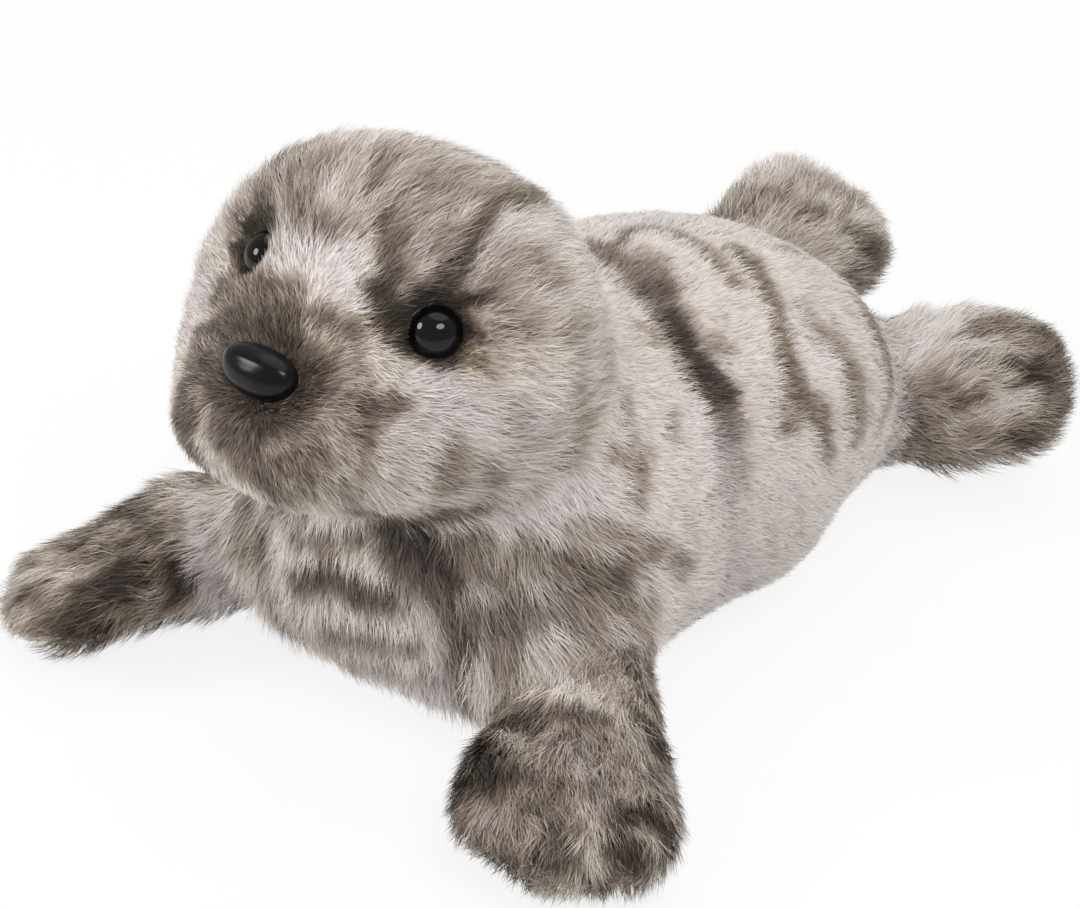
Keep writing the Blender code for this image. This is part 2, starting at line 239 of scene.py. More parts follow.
def add_floor():
    bpy.ops.object.select_all(action="DESELECT")
    bpy.ops.mesh.primitive_plane_add(size=12.0, location=(0, 0, 0))
    floor = bpy.context.active_object
    floor.name = "studio_floor"
    material = bpy.data.materials.new("studio paper")
    material.use_nodes = True
    tree = material.node_tree
    tree.nodes.clear()
    paper = add_node(tree, "BsdfDiffuse", {"Color": (0.86, 0.86, 0.86, 1)})
    glow = add_node(tree, "Emission", {"Strength": 1.0})
    share = add_node(tree, "Math", {0: background_share(tree), 1: 0.86})
    share.operation = "MULTIPLY"
    inputs = {0: share.outputs[0], 1: paper.outputs[0], 2: glow.outputs[0]}
    mix = add_node(tree, "MixShader", inputs)
    add_node(tree, "OutputMaterial", {"Surface": mix.outputs[0]})
    floor.data.materials.append(material)


# Small helpers

def select_only(piece):
    bpy.ops.object.select_all(action="DESELECT")
    piece.select_set(True)
    bpy.context.view_layer.objects.active = piece


def points_of(mesh):
    co = np.zeros(len(mesh.vertices) * 3)
    mesh.vertices.foreach_get("co", co)
    return co.reshape(-1, 3)


def normals_of(mesh):
    normals = np.zeros(len(mesh.vertices) * 3)
    mesh.vertex_normals.foreach_get("vector", normals)
    return normals.reshape(-1, 3)


def put_points(mesh, co):
    mesh.vertices.foreach_set("co", np.ascontiguousarray(co, dtype=np.float32).ravel())
    mesh.update()


def triangles_of(mesh):
    mesh.calc_loop_triangles()
    corners = np.zeros(len(mesh.loop_triangles) * 3, dtype=np.int32)
    mesh.loop_triangles.foreach_get("vertices", corners)
    return corners.reshape(-1, 3)


def unit(rows):
    size = np.linalg.norm(rows, axis=1)
    return rows / np.maximum(size, 1e-9)[:, None]


def along_rows(a, b):
    return (a * b).sum(axis=1)


def smooth(value):
    t = np.clip(value, 0.0, 1.0)
    return t * t * (3 - 2 * t)


LATTICE = np.random.default_rng(11).random(8192)


def cloudy(points, size, seed):
    """Smooth random value from -1 to 1 that changes over about a given size."""
    place = points / size + seed * 17.31
    cell = np.floor(place).astype(np.int64)
    part = place - cell
    part = part * part * (3 - 2 * part)
    total = np.zeros(len(points))
    for dx in (0, 1):
        for dy in (0, 1):
            for dz in (0, 1):
                key = (cell[:, 0] + dx) * 73856093
                key = key ^ ((cell[:, 1] + dy) * 19349663)
                key = key ^ ((cell[:, 2] + dz) * 83492791)
                share = (
                    (part[:, 0] if dx else 1 - part[:, 0])
                    * (part[:, 1] if dy else 1 - part[:, 1])
                    * (part[:, 2] if dz else 1 - part[:, 2])
                )
                total += LATTICE[(key + seed * 131) % LATTICE.size] * share
    return total * 2 - 1


def triangles_with_normals(mesh):
    """Points, triangles, twice their areas and their unit normals."""
    co = points_of(mesh)
    corners = triangles_of(mesh)
    cross = np.cross(co[corners[:, 1]] - co[corners[:, 0]], co[corners[:, 2]] - co[corners[:, 0]])
    return co, corners, np.linalg.norm(cross, axis=1), unit(cross)


def flat_end(name):
    """Centre and outward direction of a solid's largest flat face that isn't level."""
    co, corners, area, facing = triangles_with_normals(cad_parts[name].data)
    tilted = np.abs(facing[:, 2]) < 0.97
    groups = {}
    for index in np.nonzero((area > 1e-9) & tilted)[0]:
        groups.setdefault(tuple(np.round(facing[index], 2)), []).append(index)
    best = max(groups.values(), key=lambda rows: area[rows].sum())
    weight = area[best]
    centre = (co[corners[best]].mean(axis=1) * weight[:, None]).sum(axis=0) / weight.sum()
    return centre, unit((facing[best] * weight[:, None]).sum(axis=0)[None, :])[0]


# Stuffed skins

def copy_of(node, name):
    piece = bpy.data.objects.new(name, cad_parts[node].data.copy())
    bpy.context.scene.collection.objects.link(piece)
    piece.data.materials.clear()
    return piece


def even_faces(piece, voxel):
    """Even faces over a piece, its holes for the face parts left out."""
    select_only(piece)
    bpy.ops.object.mode_set(mode="EDIT")
    bpy.ops.mesh.select_all(action="SELECT")
    bpy.ops.mesh.remove_doubles(threshold=0.00002)
    bpy.ops.mesh.normals_make_consistent(inside=False)
    bpy.ops.object.mode_set(mode="OBJECT")
    even = piece.modifiers.new("even", "REMESH")
    even.mode = "VOXEL"
    even.voxel_size = voxel
    bpy.ops.object.modifier_apply(modifier="even")
    keep_largest(piece)
    return piece


def keep_largest(piece):
    """Deletes the closed pockets that the remesh leaves inside a skin."""
    mesh = piece.data
    links = [[] for _ in mesh.vertices]
    for edge in mesh.edges:
        a, b = edge.vertices
        links[a].append(b)
        links[b].append(a)
    island = [-1] * len(links)
    sizes = []
    for start in range(len(links)):
        if island[start] >= 0:
            continue
        island[start] = len(sizes)
        stack = [start]
        size = 0
        while stack:
            here = stack.pop()
            size += 1
            for other in links[here]:
                if island[other] < 0:
                    island[other] = len(sizes)
                    stack.append(other)
        sizes.append(size)
    keep = sizes.index(max(sizes))
    bpy.ops.object.mode_set(mode="EDIT")
    bpy.ops.mesh.select_all(action="DESELECT")
    bpy.ops.object.mode_set(mode="OBJECT")
    for index, mark in enumerate(island):
        mesh.vertices[index].select = mark != keep
    bpy.ops.object.mode_set(mode="EDIT")
    bpy.ops.mesh.delete(type="VERT")
    bpy.ops.object.mode_set(mode="OBJECT")


def relax(piece, rounds):
    """Softens a skin's points towards their neighbours."""
    select_only(piece)
    bpy.ops.object.mode_set(mode="EDIT")
    bpy.ops.mesh.select_all(action="SELECT")
    bpy.ops.mesh.vertices_smooth(factor=0.5, repeat=rounds)
    bpy.ops.object.mode_set(mode="OBJECT")


def stuff(piece, held, cap):
    """Fills a skin from inside, with its sewn edge held, and moves no point past a cap."""
    start = points_of(piece.data)
    group = piece.vertex_groups.new(name="sewn")
    group.add([int(k) for k in np.nonzero(held)[0]], 1.0, "REPLACE")
    cloth = piece.modifiers.new("stuffing", "CLOTH")
    settings = cloth.settings
    settings.quality = 5
    settings.mass = 0.3
    settings.tension_stiffness = 12
    settings.compression_stiffness = 12
    settings.shear_stiffness = 5
    settings.bending_stiffness = 0.4
    settings.vertex_group_mass = "sewn"
    settings.use_pressure = True
    settings.uniform_pressure_force = 4.0
    settings.effector_weights.gravity = 0.0
    cloth.collision_settings.use_collision = False
    cloth.point_cache.frame_start = 1
    cloth.point_cache.frame_end = STUFFING_FRAMES
    scene = bpy.context.scene
    for step in range(1, STUFFING_FRAMES + 1):
        scene.frame_set(step)
    graph = bpy.context.evaluated_depsgraph_get()
    shown = piece.evaluated_get(graph).to_mesh()
    filled = points_of(shown)
    piece.evaluated_get(graph).to_mesh_clear()
    piece.modifiers.remove(cloth)
    piece.vertex_groups.remove(group)
    scene.frame_set(1)
    move = filled - start
    size = np.linalg.norm(move, axis=1)
    move *= np.minimum(1.0, cap / np.maximum(size, 1e-9))[:, None]
    put_points(piece.data, start + move)
    finer = piece.modifiers.new("finer", "SUBSURF")
    finer.levels = 1
    finer.render_levels = 1
    select_only(piece)
    bpy.ops.object.modifier_apply(modifier="finer")
    for face in piece.data.polygons:
        face.use_smooth = True


def taken_in(co, normals, inset):
    """Points moved inwards, but not away from the neck seam's plane."""
    move = -normals * inset
    height = (co - NECK_CENTRE) @ NECK_AXIS
    near = smooth(1.0 - np.abs(height) / NECK_HOLD)
    move -= NECK_AXIS[None, :] * (move @ NECK_AXIS * near)[:, None]
    return co + move, near


def tree_of(piece):
    mesh = piece.data
    return BVHTree.FromPolygons(
        [vertex.co.copy() for vertex in mesh.vertices],
        [tuple(face.vertices) for face in mesh.polygons],
    )


def distances(tree, points):
    return np.array([tree.find_nearest(Vector(point))[3] for point in points])


def near_neck(points, span):
    return smooth((span - np.abs((points - NECK_CENTRE) @ NECK_AXIS)) / NECK_FADE)


def near_roots(points, span):
    """Share of the flippers' seams at some points, from the solids on both sides of them."""
    to_body = distances(solids["body"], points)
    share = np.zeros(len(points))
    picked = np.nonzero(to_body < span)[0]
    for name in FLIPPERS:
        gap = np.maximum(distances(solids[name], points[picked]), to_body[picked])
        share[picked] = np.maximum(share[picked], smooth((span - gap) / ROOT_FADE))
    return share


def soft_form():
    """Surface of the whole seal as one, softened at the cheeks and the flippers' roots."""
    form = copy_of("body", "soft_form")
    others = [copy_of(node, node + "_part") for node in ("head",) + FLIPPERS]
    select_only(form)
    for other in others:
        other.select_set(True)
    bpy.ops.object.join()
    even_faces(form, SOFT_VOXEL)
    co = points_of(form.data)
    side = smooth((np.abs(co[:, 0] - MIDDLE) - 0.012) / 0.03)
    weight = near_neck(co, NECK_SPAN) * (0.25 + 0.75 * side)
    weight *= smooth((NECK_CENTRE[2] + 0.045 - co[:, 2]) / 0.03)
    weight = np.maximum(weight, near_roots(co, ROOT_SPAN) * 0.7) * 0.5
    ends = np.array([list(edge.vertices) for edge in form.data.edges])
    count = np.bincount(ends.ravel(), minlength=len(co))[:, None]
    for _ in range(SOFT_ROUNDS):
        total = np.zeros_like(co)
        np.add.at(total, ends[:, 0], co[ends[:, 1]])
        np.add.at(total, ends[:, 1], co[ends[:, 0]])
        co += (total / count - co) * weight[:, None]
    put_points(form.data, co)
    tree = tree_of(form)
    bpy.data.objects.remove(form)
    return tree


def run_together(co, inset):
    """Points near a seam moved onto the softened form, a little inside it."""
    fade = np.maximum(near_neck(co, NECK_SPAN), near_roots(co, ROOT_SPAN))
    for index in np.nonzero(fade > 0)[0]:
        place, facing, _, distance = SOFT_FORM.find_nearest(Vector(co[index]))
        share = fade[index] * float(smooth(np.array(1 - (distance - SOFT_REACH) / SOFT_FADE)))
        co[index] += (np.array(place - facing * inset) - co[index]) * share
    return co


def plump(name, co, normals):
    """Fullness at places of the outline, given as seen in the picture."""
    for across, down, reach, amount in FULLNESS.get(name, ()):
        start, direction = picture_ray(across, down)
        gap = co - np.array(start)
        off = gap - np.outer(gap @ np.array(direction), np.array(direction))
        nearest = co[np.argmin(np.linalg.norm(off, axis=1))]
        away = np.linalg.norm(co - nearest, axis=1)
        co = co + normals * (amount * np.exp(-((away / reach) ** 2)))[:, None]
    return co


def make_section_skin(node, voxel, inset):
    """Skin of the body or the head, held round the neck seam."""
    piece = even_faces(copy_of(node, node + "_skin"), voxel)
    relax(piece, 2)
    normals = normals_of(piece.data)
    co, near = taken_in(points_of(piece.data), normals, inset)
    put_points(piece.data, plump(node, run_together(co, inset), normals))
    stuff(piece, near > 0.3, SECTION_CAP)
    return piece


def make_flipper_skin(node):
    """Skin of a flipper whose root is drawn into the body's side."""
    piece = even_faces(copy_of(node, node + "_skin"), FLIPPER_VOXEL)
    relax(piece, 2)
    co = points_of(piece.data)
    normals = normals_of(piece.data)
    move = -normals * FLIPPER_INSET
    root = np.zeros(len(co))
    for index, point in enumerate(co):
        _, facing, _, distance = solids["body"].find_nearest(Vector(point))
        share = float(smooth(np.array(1.0 - distance / ROOT_HOLD)))
        root[index] = share
        pull = -np.array(facing) * (BODY_INSET + 0.003)
        move[index] = move[index] * (1 - share) + (pull - normals[index] * 0.0015) * share
    put_points(piece.data, plump(node, run_together(co + move, FLIPPER_INSET), normals))
    stuff(piece, root > 0.5, FLIPPER_CAP)
    return piece


# Coat markings, as strokes laid in the picture's view. A row holds the tone from
# 0 dark to 1 pale, the tint from 0 lilac grey to 1 olive brown, the strength, and points
# (across, down, half width) in picture units

BODY_STROKES = (
    # neck end of the dark band
    (0.36, 0.45, 0.8, ((588, 248, 9), (600, 254, 10), (612, 262, 12))),
    (0.44, 0.7, 0.8, ((612, 262, 14), (632, 272, 18), (648, 288, 17))),
    (0.50, 0.6, 0.6, ((640, 255, 10), (655, 270, 10))),
    # dark band down the flank
    (0.36, 0.45, 0.9, (
        (648, 292, 15), (662, 314, 17), (674, 336, 16), (690, 362, 16), (706, 388, 17),
    )),
    (0.18, 0.4, 1.0, (
        (666, 320, 6), (680, 347, 8), (697, 374, 11), (710, 390, 14), (716, 400, 14),
    )),
    (0.30, 0.3, 0.85, ((716, 400, 14), (724, 424, 14))),
    (0.64, 0.1, 0.8, ((727, 440, 19), (727, 480, 18))),
    (0.72, 0.1, 0.7, ((727, 500, 18), (728, 560, 16), (735, 590, 12))),
    (0.52, 0.5, 0.6, ((700, 345, 8), (716, 346, 10))),
    (0.58, 0.9, 0.7, ((630, 325, 6), (646, 342, 9))),
    # narrow arch over the back
    (0.50, 0.85, 0.9, (
        (617, 248, 6), (624, 236, 5), (645, 232, 5), (668, 236, 5), (690, 246, 6),
        (708, 258, 7), (722, 274, 7), (733, 287, 6),
    )),
    # third band
    (0.46, 0.85, 0.95, (
        (728, 250, 6), (745, 262, 7), (757, 283, 8), (769, 304, 7), (775, 325, 7),
        (781, 350, 9), (787, 372, 10), (795, 392, 12),
    )),
    (0.40, 0.4, 0.8, ((784, 365, 6), (790, 372, 6))),
    (0.46, 0.8, 0.85, ((790, 402, 12), (812, 412, 15))),
    (0.44, 0.6, 0.85, ((818, 430, 8), (823, 455, 8))),
    (0.44, 0.4, 0.8, ((778, 428, 6), (787, 427, 6))),
    (0.60, 0.4, 0.6, ((780, 405, 7), (775, 415, 7))),
    # spots near the rump
    (0.52, 0.9, 0.7, ((775, 250, 6), (783, 252, 6), (797, 259, 6))),
    (0.62, 0.5, 0.6, ((803, 305, 7), (806, 318, 7))),
    (0.58, 0.8, 0.8, ((812, 330, 10), (832, 343, 12), (842, 360, 11))),
    (0.52, 0.7, 0.85, ((846, 372, 11), (851, 395, 12), (853, 425, 11), (850, 440, 8))),
    (0.42, 0.8, 0.9, ((857, 303, 7), (868, 322, 8), (878, 342, 8))),
    (0.50, 0.8, 0.85, ((878, 342, 8), (885, 368, 8), (884, 395, 8))),
    (0.60, 0.6, 0.7, ((882, 400, 8), (873, 428, 8))),
    (0.66, 0.4, 0.6, ((862, 380, 5), (866, 420, 5))),
    (0.52, 0.7, 0.8, ((850, 300, 9), (868, 328, 11), (880, 360, 11))),
    # streaks on the shoulder and the lower flank
    (0.62, 0.3, 0.7, ((620, 395, 6), (626, 438, 7))),
    (0.60, 0.3, 0.7, ((668, 412, 4), (666, 436, 4))),
    (0.60, 0.7, 0.75, ((606, 452, 8), (626, 462, 9), (640, 458, 7))),
    (0.54, 0.85, 0.8, ((632, 470, 9), (634, 490, 7), (626, 506, 5))),
    (0.66, 0.3, 0.6, ((684, 512, 4), (688, 552, 4))),
    (0.66, 0.2, 0.6, ((791, 485, 4), (792, 535, 4))),
    (0.68, 0.2, 0.5, ((765, 530, 4), (768, 560, 4))),
    (0.58, 0.3, 0.8, ((660, 552, 8), (672, 568, 9))),
    (0.50, 0.7, 0.8, ((612, 552, 6), (632, 546, 7), (650, 538, 6))),
    # chest stripes over a slightly darker ground
    (0.72, 0.5, 0.7, ((250, 556, 18), (300, 598, 24), (375, 636, 22))),
    (0.55, 0.7, 0.8, ((262, 530, 10), (276, 545, 10))),
    (0.48, 0.7, 0.85, ((300, 522, 6), (340, 526, 7), (385, 524, 7))),
    (0.34, 0.35, 0.95, ((302, 565, 9), (330, 569, 12), (365, 578, 13), (395, 588, 10))),
    (0.62, 0.5, 0.7, ((240, 566, 5), (248, 588, 8), (275, 600, 9))),
    (0.46, 0.5, 0.85, ((328, 620, 8), (365, 623, 9), (410, 630, 8))),
    (0.58, 0.3, 0.8, ((350, 655, 7), (390, 658, 8), (430, 664, 7))),
    # dark throat beside the near flipper: dark fur, with painted shade under the chin
    # painted shade under the chin
    (0.40, 0.4, 0.8, ((366, 492, 9), (396, 500, 12))),
    (0.30, 0.5, 0.9, ((330, 553, 10), (352, 572, 14), (385, 580, 12))),
    (0.60, 0.5, 0.8, ((260, 590, 8), (298, 612, 9), (336, 640, 8))),
    (0.18, 0.4, 1.0, ((378, 506, 10), (402, 518, 15), (424, 534, 16))),
    (0.20, 0.4, 0.95, ((414, 520, 14), (432, 545, 15), (446, 560, 12))),
    (0.30, 0.4, 0.85, ((398, 542, 10), (420, 566, 13))),
    (0.32, 0.4, 0.85, ((440, 575, 12), (450, 606, 11), (462, 622, 9))),
    (0.38, 0.4, 0.85, ((452, 640, 9), (464, 664, 10), (470, 686, 11))),
    (0.48, 0.6, 0.8, ((460, 520, 11), (478, 548, 13), (502, 575, 12))),
    (0.50, 0.6, 0.75, ((482, 600, 11), (500, 628, 12), (505, 650, 10))),
    (0.50, 0.6, 0.75, ((520, 536, 11), (550, 548, 13), (580, 560, 12))),
    (0.56, 0.6, 0.7, ((560, 516, 9), (600, 528, 11), (638, 545, 9))),
    (0.42, 0.4, 0.8, ((470, 600, 12), (500, 604, 12))),
    (0.42, 0.5, 0.8, ((528, 590, 12), (560, 588, 13), (585, 576, 12))),
    (0.32, 0.5, 0.9, ((572, 566, 9), (592, 562, 10), (608, 572, 8))),
    (0.62, 0.6, 0.85, ((566, 604, 14), (600, 598, 15), (632, 604, 13))),
    (0.66, 0.6, 0.8, ((545, 642, 13), (585, 636, 14), (625, 640, 13))),
    (0.48, 0.6, 0.8, ((560, 588, 5), (574, 612, 5), (580, 634, 4))),
    (0.50, 0.6, 0.8, ((606, 584, 5), (612, 606, 5), (612, 626, 4))),
    (0.55, 0.8, 0.6, ((500, 540, 12), (545, 552, 12), (575, 548, 10))),
    (0.50, 0.6, 0.6, ((455, 530, 12), (480, 560, 12))),
)

HEAD_STROKES = (
    # pale crown and blaze
    (0.84, 0.35, 0.9, ((330, 145, 26), (375, 137, 22), (430, 148, 20), (480, 165, 14))),
    (0.68, 0.4, 0.4, ((350, 165, 12), (346, 190, 10))),
    (0.82, 0.12, 0.95, ((262, 268, 14), (300, 262, 20), (336, 272, 18))),
    (0.86, 0.1, 0.8, ((336, 278, 18), (352, 300, 13))),
    (0.82, 0.2, 0.7, ((215, 290, 14), (205, 320, 12))),
    # brown forehead
    (0.56, 0.5, 0.8, ((285, 188, 16), (305, 200, 18), (322, 172, 12))),
    (0.52, 0.5, 0.8, ((300, 222, 16), (326, 236, 14))),
    (0.62, 0.55, 0.85, ((345, 205, 12), (352, 232, 12))),
    (0.44, 0.6, 0.9, ((378, 160, 10), (372, 185, 9), (374, 205, 9))),
    (0.46, 0.55, 0.9, ((386, 222, 15), (384, 245, 15), (388, 268, 15))),
    (0.36, 0.5, 0.9, ((376, 232, 8), (380, 262, 8), (382, 288, 12))),
    (0.56, 0.6, 0.8, ((410, 215, 16), (430, 240, 20))),
    (0.50, 0.75, 0.9, ((408, 192, 12), (445, 203, 14), (485, 207, 14), (522, 202, 14))),
    (0.42, 0.8, 0.8, ((505, 212, 10), (530, 200, 10), (536, 188, 7))),
    (0.62, 0.8, 0.6, ((400, 165, 12), (440, 175, 13), (490, 182, 12))),
    (0.62, 0.4, 0.6, ((424, 262, 14), (414, 285, 12))),
    # dark fold from the crown to the near eye
    (0.30, 0.5, 0.95, ((480, 224, 8), (466, 240, 9), (456, 258, 9))),
    (0.26, 0.45, 0.95, ((454, 262, 9), (444, 282, 11), (434, 297, 10))),
    # round the near eye
    (0.05, 0.5, 1.0, ((392, 318, 14), (400, 338, 13))),
    (0.07, 0.5, 1.0, ((410, 303, 10), (432, 300, 10), (452, 306, 7))),
    (0.20, 0.5, 0.95, ((372, 300, 13), (378, 320, 12))),
    (0.22, 0.5, 0.85, ((376, 337, 5), (392, 345, 6))),
    (0.16, 0.45, 0.95, ((466, 302, 8), (482, 299, 7))),
    (0.30, 0.7, 0.9, ((466, 325, 8), (478, 338, 7))),
    (0.42, 0.9, 0.8, ((455, 356, 9), (478, 360, 9))),
    (0.58, 0.45, 0.8, ((490, 262, 14), (520, 268, 13), (538, 280, 11))),
    (0.56, 0.4, 0.7, ((484, 285, 10), (500, 300, 12))),
    (0.84, 0.3, 0.8, ((500, 232, 12), (560, 226, 14))),
    (0.50, 0.5, 0.7, ((500, 322, 9), (520, 330, 9))),
    (0.84, 0.15, 0.8, ((400, 375, 10), (420, 385, 14))),
    # cheek
    (0.78, 0.14, 0.9, ((415, 412, 26), (450, 405, 24))),
    (0.84, 0.1, 0.7, ((520, 410, 22), (540, 390, 16))),
    (0.58, 0.2, 0.7, ((497, 405, 8), (503, 424, 8))),
    (0.54, 0.7, 0.75, ((562, 375, 6), (566, 410, 8), (565, 440, 8), (556, 462, 7))),
    (0.60, 0.8, 0.6, ((556, 335, 8), (575, 325, 8))),
    (0.52, 0.75, 0.8, ((440, 447, 9), (434, 466, 11), (426, 482, 12))),
    (0.50, 0.5, 0.7, ((466, 462, 7), (480, 478, 7))),
    (0.60, 0.9, 0.6, ((340, 480, 12), (355, 455, 10))),
    # muzzle
    (0.46, 0.75, 1.0, ((232, 298, 18), (258, 306, 20), (292, 312, 17))),
    (0.34, 0.7, 1.0, ((222, 332, 13), (256, 328, 13), (292, 330, 13))),
    (0.16, 0.6, 0.95, ((226, 343, 6), (262, 337, 7), (296, 348, 7))),
    (0.44, 0.75, 0.9, ((320, 325, 13), (345, 335, 13))),
    (0.33, 0.5, 0.95, ((206, 340, 12), (200, 372, 16), (196, 404, 16))),
    (0.32, 0.6, 0.95, ((188, 425, 15), (198, 448, 15), (214, 470, 12))),
    # dark along the chin's lower edge: painted shade under the chin
    (0.34, 0.55, 0.95, ((350, 502, 10), (385, 508, 14), (430, 505, 15), (466, 498, 11))),
    (0.22, 0.5, 0.9, ((214, 356, 6), (214, 380, 6), (224, 398, 6))),
    (0.56, 0.65, 0.9, ((312, 360, 12), (340, 372, 16), (352, 398, 16))),
    (0.34, 0.5, 0.9, ((302, 372, 6), (300, 390, 7), (280, 404, 7))),
    (0.36, 0.45, 0.95, ((236, 410, 12), (262, 420, 16), (290, 410, 12))),
    (0.40, 0.45, 0.9, ((222, 425, 13), (240, 452, 15), (262, 470, 13))),
    (0.58, 0.5, 0.85, ((300, 435, 16), (326, 425, 15), (345, 430, 13))),
    (0.50, 0.5, 0.8, ((300, 470, 13), (270, 490, 12))),
    (0.72, 0.5, 0.6, ((316, 402, 11), (330, 425, 11), (322, 448, 9))),
    (0.72, 0.6, 0.5, ((314, 362, 7), (345, 380, 9))),
    (0.50, 0.6, 0.8, ((262, 455, 12), (288, 460, 13), (312, 450, 12))),
    (0.40, 0.4, 0.7, ((252, 436, 5), (262, 462, 6), (268, 480, 5))),
    (0.36, 0.5, 0.8, ((356, 400, 6), (362, 425, 7), (358, 440, 6))),
    # round the far eye
    (0.10, 0.5, 1.0, ((250, 226, 8), (262, 222, 9), (276, 228, 8))),
    (0.14, 0.5, 0.95, ((240, 244, 6), (242, 258, 6))),
    (0.36, 0.6, 0.9, ((258, 210, 9), (268, 213, 9))),
    (0.66, 0.5, 0.7, ((236, 226, 9), (232, 244, 7))),
)

